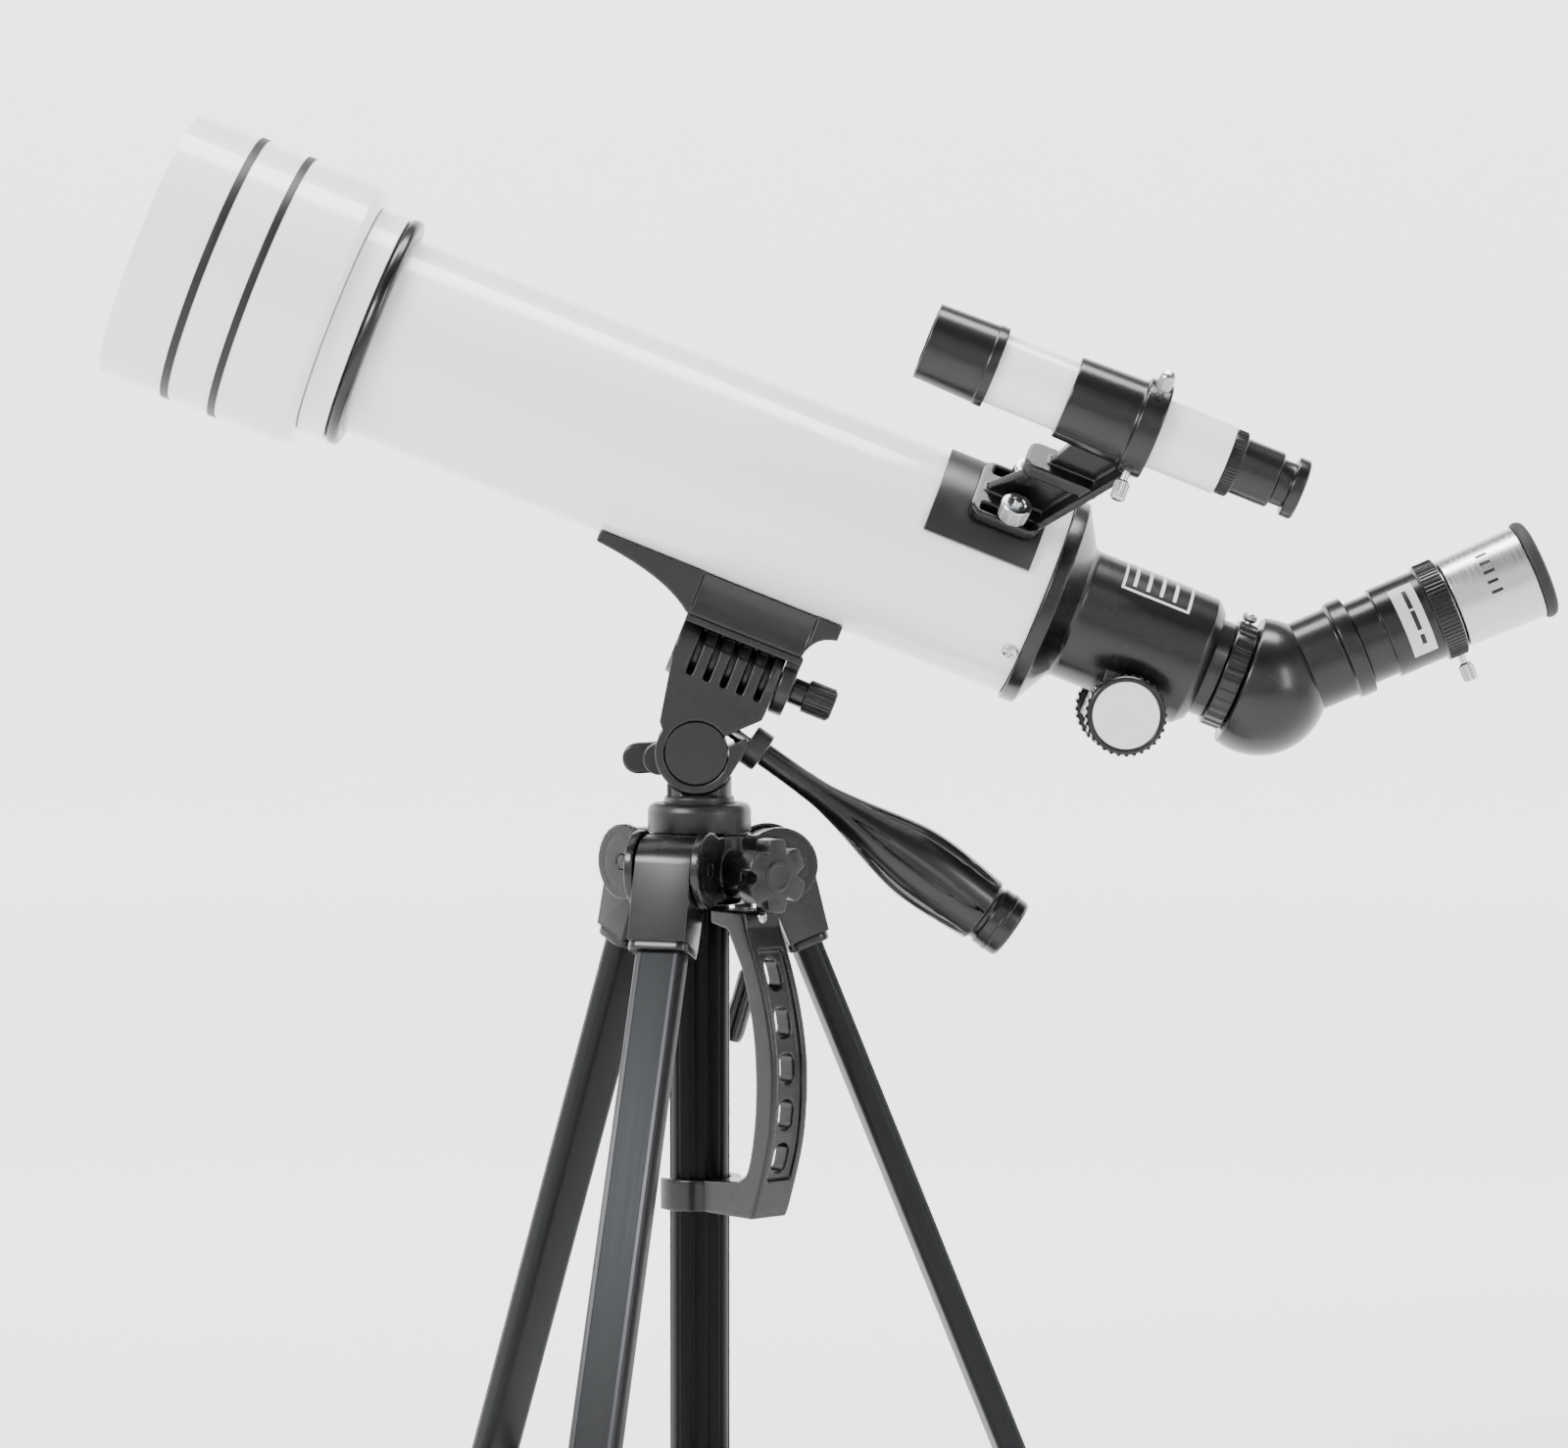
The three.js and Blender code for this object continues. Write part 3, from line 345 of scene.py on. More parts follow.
# %% [markdown]
# Flat parts are an outline with a thickness. The rim is bevelled, so that it reads as
# a moulded edge. `slab` is drawn in X and Z and is thick along Y; `bar` is a section in
# X and Y drawn out along Z, like a tube or a leg.


# %% Slabs, bars and blocks
def prism(points, low, high, edge):
    """An outline in X and Y between two heights, with both rims bevelled."""
    made = bmesh.new()
    base = made.faces.new([made.verts.new((x, y, low)) for x, y in points])
    raised = bmesh.ops.extrude_face_region(made, geom=[base])["geom"]
    upper = [item for item in raised if isinstance(item, bmesh.types.BMVert)]
    bmesh.ops.translate(made, vec=(0, 0, high - low), verts=upper)
    bmesh.ops.recalc_face_normals(made, faces=made.faces)
    rims = [e for e in made.edges if abs(e.verts[0].co.z - e.verts[1].co.z) < 1e-6]
    if edge:
        bmesh.ops.bevel(made, geom=rims, offset=edge, segments=3, profile=0.5,
                        affect="EDGES", clamp_overlap=True)
    return made


def turned_over(made, axis, angle):
    made.transform(Matrix.Rotation(math.radians(angle), 4, axis))
    return made


def moved(made, x=0.0, y=0.0, z=0.0):
    made.transform(shift(x, y, z))
    return made


def slab(points, low, high, edge=0.5, corner=0.6):
    """An outline in X and Z with a thickness from low to high along Y."""
    made = prism(softened(points, corner), -high, -low, edge)
    return turned_over(made, "X", 90)


def rounded(width, depth, radius, steps=8):
    points = []
    for quarter, (sx, sy) in enumerate(((1, 1), (-1, 1), (-1, -1), (1, -1))):
        middle = (sx * (width / 2 - radius), sy * (depth / 2 - radius))
        for i in range(steps + 1):
            angle = math.pi / 2 * (quarter + i / steps)
            points.append((middle[0] + radius * math.cos(angle),
                           middle[1] + radius * math.sin(angle)))
    return points


def bar(width, depth, radius, low, high, edge=0.4):
    return prism(rounded(width, depth, radius), low, high, edge)


def block(x0, x1, y0, y1, z0, z1, edge=0.3):
    radius = min(x1 - x0, y1 - y0) * 0.12
    made = bar(x1 - x0, y1 - y0, min(radius, max(edge, 0.05)), z0, z1, edge)
    return moved(made, (x0 + x1) / 2, (y0 + y1) / 2)


def along_x(made):
    return turned_over(made, "Y", 90)


def along_y(made):
    return turned_over(made, "X", -90)


print("a softened square has", len(softened([(0, 0), (1, 0), (1, 1), (0, 1)], 0.2)), "points")

# %% [markdown]
# ### Castings
# The tilting block, the shoulder and the brackets are die castings and mouldings: solids
# that melt into each other, with pockets cut out. Booleans join and cut plain solids.
# A voxel remesh and a little smoothing then turn every inner corner into a fillet,
# which is what the mould maker's cutter leaves.


# %% Join, cut and melt together
def to_mesh(made, name="shape"):
    mesh = bpy.data.meshes.new(name)
    made.to_mesh(mesh)
    made.free()
    return mesh


def scratch(mesh):
    made = bpy.data.objects.new("scratch", mesh)
    bpy.context.scene.collection.objects.link(made)
    return made


def carved(solids, cuts=(), voxel=0.0, smoothing=0):
    objects = [scratch(to_mesh(made)) for made in (*solids, *cuts)]
    base = objects[0]
    for i, other in enumerate(objects[1:], 1):
        step = base.modifiers.new("step", "BOOLEAN")
        step.solver = "MANIFOLD"
        step.operation = "UNION" if i < len(solids) else "DIFFERENCE"
        step.object = other
    if voxel:
        remesh = base.modifiers.new("melt", "REMESH")
        remesh.mode = "VOXEL"
        remesh.voxel_size = voxel
        smooth = base.modifiers.new("fillet", "SMOOTH")
        smooth.factor = 0.5
        smooth.iterations = smoothing
    graph = bpy.context.evaluated_depsgraph_get()
    mesh = bpy.data.meshes.new_from_object(base.evaluated_get(graph))
    for made in objects:
        bpy.data.objects.remove(made)
    result = bmesh.new()
    result.from_mesh(mesh)
    bpy.data.meshes.remove(mesh)
    return result


def cast(solids, cuts=(), voxel=0.5, smoothing=4):
    return carved(solids, cuts, voxel, smoothing)


melted = cast([rod(5, 0, 10), rod(3, 8, 20)], voxel=0.6)
print("a test casting has", len(melted.faces), "faces")
melted.free()

# %% [markdown]
# ### Finished pieces
# `finished` joins the shells of one piece, each with its own finish, keeps each point's
# place in the drawing as the attribute `local`, carries the mesh to its place and lets
# it ride on its body. Sharp edges are found by angle, so flats stay flat.


# %% Put a piece in its place
TURNED_CREASE, CAST_CREASE = 32, 40


def finished(name, body, place, parts, node=None, crease=TURNED_CREASE):
    """Joins (shape, finish) parts into one piece that may stand for a CAD node."""
    joined = bmesh.new()
    materials = []
    for made, material in parts:
        if material not in materials:
            materials.append(material)
        first = len(joined.faces)
        mesh = made if isinstance(made, bpy.types.Mesh) else to_mesh(made)
        joined.from_mesh(mesh)
        bpy.data.meshes.remove(mesh)
        joined.faces.ensure_lookup_table()
        for face in joined.faces[first:]:
            face.material_index = materials.index(material)
            face.smooth = True
    bmesh.ops.remove_doubles(joined, verts=joined.verts, dist=1e-5)
    mesh = to_mesh(joined, name)
    own = mesh.attributes.new("local", "FLOAT_VECTOR", "POINT")
    flat = [value for vertex in mesh.vertices for value in vertex.co]
    own.data.foreach_set("vector", flat)
    mesh.transform(place)
    mesh.set_sharp_from_angle(angle=math.radians(crease))
    for material in materials:
        mesh.materials.append(material)
    made = bpy.data.objects.new(name, mesh)
    bpy.context.scene.collection.objects.link(made)
    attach(made, body)
    if node:
        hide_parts(node)
    return made


print("pieces are placed in metres")

# %% [markdown]
# ## Geometry Nodes for what repeats
# Knurls, teeth and ribs are one small shape repeated round an axis. A tree places a
# short rod at every point of a circle, turns it to face outwards and makes it real.
# Its sizes are inputs, so the same tree serves every knob and screw.


# %% A tree of ribs round an axis
def new_tree(name, inputs):
    tree = bpy.data.node_groups.new(name, "GeometryNodeTree")
    for label, kind in inputs:
        tree.interface.new_socket(label, in_out="INPUT", socket_type=f"NodeSocket{kind}")
    tree.interface.new_socket("Geometry", in_out="OUTPUT", socket_type="NodeSocketGeometry")
    return tree, add(tree, "NodeGroupInput").outputs


def begun(tree, geometry, given):
    """Raises a shape that is centred on its length, so that it begins at its start."""
    half = add(tree, "ShaderNodeMath", {0: given["Length"], 1: 0.5}, operation="MULTIPLY")
    rise = add(tree, "ShaderNodeMath", {0: given["Start"], 1: half.outputs[0]}, operation="ADD")
    lift = add(tree, "ShaderNodeCombineXYZ", {"Z": rise.outputs[0]})
    return add(tree, "GeometryNodeTransform", {
        "Geometry": geometry, "Translation": lift.outputs["Vector"]}).outputs["Geometry"]


def end_tree(tree, geometry, material):
    real = add(tree, "GeometryNodeRealizeInstances", {"Geometry": geometry})
    dressed = add(tree, "GeometryNodeSetMaterial", {
        "Geometry": real.outputs["Geometry"], "Material": material})
    add(tree, "NodeGroupOutput", {"Geometry": dressed.outputs["Geometry"]})


ribs_tree, given = new_tree("ribs_round_an_axis", (
    ("Count", "Int"), ("Radius", "Float"), ("Start", "Float"), ("Length", "Float"),
    ("Width", "Float"), ("Height", "Float"), ("Material", "Material")))
circle = add(ribs_tree, "GeometryNodeMeshCircle", {
    "Vertices": given["Count"], "Radius": given["Radius"]})
size = add(ribs_tree, "ShaderNodeCombineXYZ", {
    "X": given["Height"], "Y": given["Width"], "Z": given["Length"]})
single = add(ribs_tree, "GeometryNodeMeshCylinder", {"Vertices": 10, "Radius": 1.0, "Depth": 1.0})
spot = add(ribs_tree, "GeometryNodeInputPosition")
outwards = add(ribs_tree, "FunctionNodeAlignRotationToVector", {
    "Vector": spot.outputs["Position"]}, axis="X", pivot_axis="Z")
spread = add(ribs_tree, "GeometryNodeInstanceOnPoints", {
    "Points": circle.outputs["Mesh"], "Instance": single.outputs["Mesh"],
    "Rotation": outwards.outputs["Rotation"], "Scale": size.outputs["Vector"]})
end_tree(ribs_tree, begun(ribs_tree, spread.outputs["Instances"], given), given["Material"])
print("ribs tree has", len(ribs_tree.nodes), "nodes")

# %% [markdown]
# Tubes and bands follow a rule too: a thin rectangle with rounded corners, swept round a
# circle. `Curve to Mesh` makes that in one step, with the wall's rims already rounded.
# A second tree sets a tooth at every step of a line, for the focuser's rack.

# %% Trees for hoops and for a rack
hoop_tree, given = new_tree("hoop", (
    ("Radius", "Float"), ("Wall", "Float"), ("Start", "Float"), ("Length", "Float"),
    ("Edge", "Float"), ("Material", "Material")))
half_wall = add(hoop_tree, "ShaderNodeMath", {0: given["Wall"], 1: 0.5}, operation="MULTIPLY")
middle = add(hoop_tree, "ShaderNodeMath", {
    0: given["Radius"], 1: half_wall.outputs[0]}, operation="SUBTRACT")
path = add(hoop_tree, "GeometryNodeCurvePrimitiveCircle", {
    "Resolution": 160, "Radius": middle.outputs[0]})
wall = add(hoop_tree, "GeometryNodeCurvePrimitiveQuadrilateral", {
    "Width": given["Wall"], "Height": given["Length"]})
rims = add(hoop_tree, "GeometryNodeFilletCurve", {
    "Curve": wall.outputs["Curve"], "Radius": given["Edge"], "Count": 3}, mode="POLY")
swept = add(hoop_tree, "GeometryNodeCurveToMesh", {
    "Curve": path.outputs["Curve"], "Profile Curve": rims.outputs["Curve"]})
end_tree(hoop_tree, begun(hoop_tree, swept.outputs["Mesh"], given), given["Material"])

row_tree, given = new_tree("row_of_teeth", (
    ("Count", "Int"), ("Pitch", "Float"), ("Size", "Vector"), ("First", "Vector"),
    ("Material", "Material")))
step = add(row_tree, "ShaderNodeCombineXYZ", {"Z": given["Pitch"]})
line = add(row_tree, "GeometryNodeMeshLine", {
    "Count": given["Count"], "Start Location": given["First"], "Offset": step.outputs["Vector"]})
tooth = add(row_tree, "GeometryNodeMeshCube", {"Size": given["Size"]})
teeth = add(row_tree, "GeometryNodeInstanceOnPoints", {
    "Points": line.outputs["Mesh"], "Instance": tooth.outputs["Mesh"]})
end_tree(row_tree, teeth.outputs["Instances"], given["Material"])
print("trees", [tree.name for tree in bpy.data.node_groups])


# %% [markdown]
# A tree is run once on an empty object, and its mesh is kept. Matching points are
# merged, so the piece is closed.

# %% Run a tree once and keep its mesh
def grown(tree, **values):
    """Runs a tree with the given inputs and returns the plain mesh."""
    base = scratch(bpy.data.meshes.new("seed"))
    run = base.modifiers.new("run", "NODES")
    run.node_group = tree
    sockets = {item.name: item for item in tree.interface.items_tree
               if item.item_type == "SOCKET" and item.in_out == "INPUT"}
    for label, value in values.items():
        kind = sockets[label].socket_type
        run[sockets[label].identifier] = float(value) if kind == "NodeSocketFloat" else value
    graph = bpy.context.evaluated_depsgraph_get()
    mesh = bpy.data.meshes.new_from_object(base.evaluated_get(graph))
    base.modifiers.remove(run)
    bpy.data.objects.remove(base)
    made = bmesh.new()
    made.from_mesh(mesh)
    bpy.data.meshes.remove(mesh)
    bmesh.ops.remove_doubles(made, verts=made.verts, dist=1e-5)
    bmesh.ops.recalc_face_normals(made, faces=made.faces)
    return made


def ribs(material, count, radius, start, length, width, height):
    """Ribs of half-width `width` that stand `height` proud of a radius."""
    return grown(ribs_tree, Count=count, Radius=radius, Start=start, Length=length,
                 Width=width, Height=height, Material=material)


def hoop(material, radius, wall, start, end, edge=0.4):
    return grown(hoop_tree, Radius=radius, Wall=wall, Start=start, Length=end - start,
                 Edge=edge, Material=material)


trial = hoop(white_enamel, 40, 2, 0, 30)
box = [max(v.co[i] for v in trial.verts) - min(v.co[i] for v in trial.verts) for i in range(3)]
print("a trial hoop measures", [round(value, 1) for value in box], "mm")
trial.free()

# %% [markdown]
# ## The optical tube
# The tube is a plain aluminium pipe, so the hoop tree makes it. Local Z runs along the
# tube towards the eyepiece. The dew shield in front is turned, with two black bands and
# a flat black lining that keeps stray light off the lens.

# %% Tube, dew shield and lens cell
ALONG = swivel(90, "Y")
tube_z = tube @ ALONG
TUBE_RADIUS, TUBE_WALL, TUBE_FRONT, TUBE_REAR = 39.9, 1.5, -179.6, 101
SHIELD_RADIUS, SHIELD_FRONT, SHIELD_REAR = 53.8, -270.4, -191.3

finished("optical_pipe", "optical_tube", tube_z, [
    (hoop(white_enamel, TUBE_RADIUS, TUBE_WALL, TUBE_FRONT, TUBE_REAR), white_enamel),
    (hoop(baffle_black, TUBE_RADIUS - TUBE_WALL + 0.1, 0.3, -165, 89, 0.1), baffle_black),
], "main_tube")

inner = SHIELD_RADIUS - 2.2
finished("dew_shield_shell", "optical_tube", tube_z, [
    (turned([(inner, SHIELD_FRONT), (SHIELD_RADIUS, SHIELD_FRONT),
             (SHIELD_RADIUS, SHIELD_REAR - 3.4), (SHIELD_RADIUS - 0.8, SHIELD_REAR - 1.3),
             (SHIELD_RADIUS - 2.6, SHIELD_REAR), (37, SHIELD_REAR), (37, SHIELD_REAR - 2.4),
             (inner, SHIELD_REAR - 2.4)], 0.7, 160), white_enamel),
    (hoop(baffle_black, inner + 0.1, 0.35, SHIELD_FRONT + 1.2, SHIELD_REAR - 2.2, 0.1),
     baffle_black),
], "dew_shield")

finished("dew_shield_bands", "optical_tube", tube_z, [
    (hoop(black_band, SHIELD_RADIUS + 0.35, 0.6, start, end, 0.15), black_band)
    for start, end in ((-245.0, -241.7), (-225.4, -222.3))
])

finished("lens_cell", "optical_tube", tube_z, [
    (turned([(35.8, -191), (46.5, -191), (46.5, -179.9), (38.1, -179.9), (38.1, -166),
             (33.5, -166), (33.5, -183.8), (35.8, -183.8)], 0.6, 160), white_enamel),
], "objective_cell")

finished("lens_cell_ring", "optical_tube", tube_z, [
    (turned([(40.1, -179.6), (44.7, -179.6), (46.2, -178.8), (46.7, -177.6), (46.7, -176.2),
             (46.2, -175), (44.7, -174.3), (40.1, -174.3)], 0.4, 160), gloss_abs),
], "cell_ring")

finished("achromat", "optical_tube", tube_z, [
    (turned([(0, -190.6), (12, -190.3), (24, -189.2), (35.5, -187.6), (35.5, -184.8),
             (24, -184.3), (0, -184.1)], 0.2, 128), objective_glass),
], "objective_lens")

# %% [markdown]
# ## Screws
# The bright thumbscrews are small turned shanks with a knurled head. The knurl is a ring
# of fine ribs from the tree. The cross-head screws are a turned dome with two
# slots cut out.


# %% Thumbscrews and cross-head screws
def thumbscrew(tip, neck, top, radius):
    core = radius - 0.2
    shank = turned([(0, tip), (1.1, tip), (1.5, tip + 0.6), (1.5, neck + 0.3), (0, neck + 0.3)],
                   0.1, 32)
    dome = turned([(0, neck), (core - 0.5, neck), (core, neck + 0.8), (core, top - 1.0),
                   (core - 0.7, top - 0.2), (0, top)], 0.3, 48)
    knurl = ribs(nickel, 30, core - 0.05, neck + 0.9, top - neck - 1.9, 0.22, 0.28)
    return [(shank, nickel), (dome, nickel), (knurl, nickel)]


def cross_head(under, top, radius, shank_end):
    dome = turned([(0, shank_end), (1.4, shank_end), (1.4, under), (radius, under),
                   (radius - 0.3, (under + top) / 2 + 0.2), (radius * 0.5, top), (0, top)],
                  0.15, 48)
    long, thin = radius * 0.55, 0.32
    arms = [block(-x, x, -y, y, top - 0.9, top + 1, 0.02) for x, y in ((long, thin), (thin, long))]
    return [(carved([dome], arms), nickel)]


def spoke(place, distance, angle):
    """A frame whose Z leaves the axis at an angle from straight up."""
    return place @ shift(distance, 0, 0) @ swivel(-angle, "X")


REAR_SCREW_ANGLE = -124.7
finished("rear_screw", "optical_tube", spoke(tube, 97.3, REAR_SCREW_ANGLE),
         cross_head(TUBE_RADIUS + 0.25, TUBE_RADIUS + 2.2, 3.25, 34), "rear_cell_screw")
finished("diagonal_thumbscrew", "diagonal_lock", spoke(tube, 181.5, 0),
         thumbscrew(16.6, 22, 25.6, 2.9), "collar_screw")
eyepiece_screw = barrel @ shift(0, 0, 77.7) @ ALONG
finished("eyepiece_thumbscrew", "eyepiece_lock", eyepiece_screw,
         thumbscrew(16.3, 23.0, 30.8, 2.95), "barlow_screw")
for label, angle in (("outer", 0), ("upper", 120), ("lower", 240)):
    finished(f"finder_thumbscrew_{label}", f"{label}_screw", spoke(scope, 110, angle),
             thumbscrew(14.15, 22.4, 30.4, 2.95), f"finder_screw_{label}")
print("six bright screws")

# %% [markdown]
# ## Focuser
# The rear cell, a cone and a cylinder in one gloss black moulding, carries a rack and
# pinion under it. In place of its printed label it has a plain frame with four bars, a
# set of thin curved patches that follow the cylinder.


# %% Curved patches for printed marks
def patch(radius, thickness, first, last, low, high, steps=10):
    """A thin plate on a cylinder round Z, between two angles in degrees."""
    made = bmesh.new()
    grid = []
    for i in range(steps + 1):
        angle = math.radians(first + (last - first) * i / steps)
        ring = []
        for reach, height in ((radius, low), (radius + thickness, low),
                              (radius + thickness, high), (radius, high)):
            ring.append(made.verts.new((reach * math.cos(angle), reach * math.sin(angle), height)))
        grid.append(ring)
    for here, after in zip(grid, grid[1:]):
        for i in range(4):
            j = (i + 1) % 4
            made.faces.new((here[i], here[j], after[j], after[i]))
    made.faces.new(grid[0][::-1])
    made.faces.new(grid[-1])
    bmesh.ops.recalc_face_normals(made, faces=made.faces)
    return made


def printed_frame(radius, first, last, low, high, line):
    """Four thin lines round a label, as patches."""
    arc = math.degrees(line / radius)
    return [patch(radius, 0.12, first, last, low, low + line),
            patch(radius, 0.12, first, last, high - line, high),
            patch(radius, 0.12, first, first + arc, low, high, 2),
            patch(radius, 0.12, last - arc, last, low, high, 2)]


# %% [markdown]
# The housing is turned, and a square box under it holds the pinion. The rack lies on
# the underside of the drawtube, which ends in a ribbed collar.

# %% Housing, rack and drawtube
HOUSING_RADIUS, DRAWTUBE_RADIUS = 26.1, 19.5
PINION_X, PINION_DROP = 148, 29.1
shell = turned([
    (38.1, 90), (38.1, 101.3), (41.7, 101.3), (41.7, 107), (40.6, 107.6), (27.2, 115.2),
    (HOUSING_RADIUS, 117), (HOUSING_RADIUS, 167.7), (22.4, 171.8), (19.9, 171.8),
    (19.9, 118), (35.5, 107), (35.5, 90)], 0.7, 128)
pinion_box = carved(
    [moved(along_x(block(14, 36, -21, 21, 135, 161, 1.2)))],
    [along_x(rod(HOUSING_RADIUS - 0.6, 120, 175, 0, 96)),
     moved(along_y(rod(6.4, -6.5, 6.5)), PINION_X, 0, -PINION_DROP)])
marks = printed_frame(HOUSING_RADIUS, 176, 232, 128.7, 157, 1.1)
for line, end in enumerate((183, 191, 187, 195)):
    start = 132.9 + 5.5 * line
    marks.append(patch(HOUSING_RADIUS, 0.12, end, 225.6, start, start + 1.4))
finished("focuser_body", "optical_tube", tube_z, [
    (shell, gloss_abs), *[(mark, label_grey) for mark in marks],
], "focuser_housing")
finished("pinion_cover", "optical_tube", tube, [(pinion_box, gloss_abs)])

RACK_TEETH = 23
drawtube_parts = [(hoop(gloss_abs, DRAWTUBE_RADIUS, 1.9, 92, 177.5), gloss_abs)]
rack = grown(row_tree, Count=RACK_TEETH, Pitch=2.8, Size=(2.4, 8.0, 1.4), First=(21.2, 0.0, 95.0),
             Material=gloss_abs)
drawtube_parts += [(block(18.6, 20.8, -4, 4, 92, 158, 0.2), gloss_abs), (rack, gloss_abs)]
finished("drawtube_shell", "focuser_tube", tube_z, drawtube_parts, "drawtube")

finished("drawtube_ribbed_collar", "focuser_tube", tube_z, [
    (turned([(16.4, 177.9), (21.2, 177.9), (21.2, 186.2), (16.4, 186.2)], 0.6), gloss_abs),
    (ribs(gloss_abs, 30, 21.1, 178.7, 6.7, 1.25, 0.55), gloss_abs),
], "drawtube_collar")
print("rack teeth", RACK_TEETH)

# %% [markdown]
# The focusing knobs have a coarse rim of 32 teeth for cold fingers, and a pale disc
# pressed into the face. Both knobs and the pinion turn as one body.


# %% Focusing knobs
def focusing_knob(near, far):
    core = turned([(0, near), (14.4, near), (15.3, near + 0.9), (15.3, far - 0.9), (14.6, far),
                   (13.3, far), (13.1, far - 0.8), (0, far - 0.8)], 0.4)
    teeth = ribs(gloss_abs, 32, 15.2, near + 0.7, far - near - 1.5, 0.85, 0.8)
    disc = turned([(0, far - 1), (13.0, far - 1), (13.0, far - 0.35), (12.5, far - 0.1),
                   (3.2, far - 0.1), (2.9, far - 0.4), (0, far - 0.4)], 0.2)
    return [(core, gloss_abs), (teeth, gloss_abs), (disc, pale_insert)]


pinion_place = tube @ shift(PINION_X, 0, -PINION_DROP) @ swivel(90, "X")
far_side = swivel(180, "X")
pinion = [(rod(2, -30, 30), nickel), (rod(5, -5, 5), nickel),
          (ribs(nickel, 14, 5.0, -4.6, 9.2, 0.75, 0.9), nickel)]
finished("focus_knob_near", "focus_pinion", pinion_place, focusing_knob(24, 35),
         "focus_knob")
finished("focus_knob_far", "focus_pinion", pinion_place @ far_side, focusing_knob(24, 35))
finished("pinion_shaft", "focus_pinion", pinion_place, pinion, "focus_shaft")

# %% [markdown]
# ## Diagonal, Barlow lens and eyepiece
# The diagonal is a hollow ball with a nose that slides into the drawtube. Its barrel
# leans 45 degrees. Ball and barrel are turned solids, and a boolean opens the bore.

# %% Diagonal
BALL = 27
FACE = 186.6 - MIRROR_X
cap = [(0, FACE)]
start = math.acos(FACE / BALL)
for i in range(33):
    angle = start * (1 - i / 32)
    cap.append((BALL * math.sin(angle), BALL * math.cos(angle)))
cap[-1] = (0, BALL)
ball = moved(turned(cap, 0.8, 128), 0, 0, MIRROR_X)
lean = ALONG.inverted() @ shift(MIRROR_X, 0, 0) @ swivel(45, "Y")
bore = rod(16.2, 5, 50, 0, 96)
bore.transform(lean)
neck = turned([(16.2, 8), (18.2, 8), (18.2, 34.4), (19.0, 35), (19.8, 35.6), (19.8, 42),
               (16.2, 42)], 0.5)
neck.transform(lean)
nose = turned([(13.6, 160), (15.85, 160), (15.85, 192), (13.6, 192)], 0.4)
finished("diagonal_ball", "diagonal", tube_z, [
    (carved([ball], [bore]), gloss_abs), (neck, gloss_abs), (nose, gloss_abs),
], "diagonal_housing")

# %% [markdown]
# The Barlow lens steps up twice in diameter and ends in a finely knurled collar. A
# silver label with dashes lies on the widest step.

# %% Barlow lens
finished("barlow_shell", "barlow", barrel, [
    (turned([(13.2, 24), (15.85, 24), (15.85, 42.3), (16.9, 42.3), (16.9, 52.8), (18.3, 52.8),
             (18.3, 72.2), (19.4, 72.6), (19.4, 81.0), (16.2, 81.3), (16.2, 58), (13.2, 58)],
            0.5), gloss_abs),
    (ribs(gloss_abs, 72, 19.3, 73.0, 7.6, 0.42, 0.45), gloss_abs),
    (patch(18.25, 0.18, 215, 313, 59.5, 69.2, 28), label_grey),
    *[(patch(18.4, 0.12, first, last, 64.1, 65.9, 16), black_band)
      for first, last in ((225, 251), (254, 279), (285, 298))],
], "barlow_body")

# %% [markdown]
# The eyepiece is a bright turned barrel that widens slightly to a rubber ring. A few
# black ticks stand where it carries its marks.

# %% Eyepiece
finished("eyepiece_shell", "eyepiece", barrel, [
    (turned([(12, 62), (15.85, 62), (15.85, 82), (17.9, 82.2), (18.7, 114.4), (9.6, 114.4),
             (9.6, 108), (12, 104)], 0.5, 128), brushed),
    *[(patch(18.2, 0.16, 218 + 13 * i, 222 + 13 * i, 96.2, 102.2 - 1.6 * (i % 2), 3), black_band)
      for i in range(5)],
], "eyepiece_barrel")
finished("eye_lens", "eyepiece", barrel, [
    (turned([(0, 108.6), (9.2, 109.4), (9.2, 112.2), (0, 113)], 0.3, 64), ocular_glass),
], "eyepiece_lens")
finished("eye_cup_ring", "eyepiece", barrel, [
    (turned([(9.6, 114.8), (19.4, 114.6), (19.9, 115.4), (19.9, 117.2), (19.1, 118.8),
             (17, 119.8), (11.5, 119.6), (9.6, 118.4)], 0.6, 128), soft_rubber),
], "eye_cup")

# The prism inside the diagonal keeps its engineering shape and is only given its glass.
prism_glass = bpy.data.objects["diagonal_prism"].data.materials
prism_glass.clear()
prism_glass.append(objective_glass)
print("eyepiece end done, prism in", prism_glass[0].name)

# %% [markdown]
# ## Finder
# The finder is a small telescope of its own: a white tube in a moulded bracket, held by
# two knurled nuts. Three bright screws aim it. The bracket's web, ledge and
# sleeve melt into each other, so it is a casting.

# %% Finder base, bracket and nuts
STUDS = {"lower": -10.3, "upper": 10.3}
PAD_FACE = 46.3
finder_z = finder @ ALONG


def seat_plate(inner, outer, half, low, high):
    """A plate that lies on the tube, a sector of a ring."""
    steps = 24
    angles = [180 - half + 2 * half * i / steps for i in range(steps + 1)]
    rim = [(reach * math.cos(math.radians(angle)), reach * math.sin(math.radians(angle)))
           for reach, run in ((outer, angles), (inner, angles[::-1])) for angle in run]
    return prism(rim, low, high, 0.4)


def threaded(radius, low, high, pitch=0.8):
    """A stud whose profile zigzags like a screw thread."""
    profile = [(0, low), (radius - 0.3, low)]
    turns = int((high - low) / pitch)
    for i in range(turns):
        profile += [(radius, low + pitch * (i + 0.5)), (radius - 0.3, low + pitch * (i + 1))]
    profile.append((0, low + pitch * turns))
    return turned(profile, 0, 32)


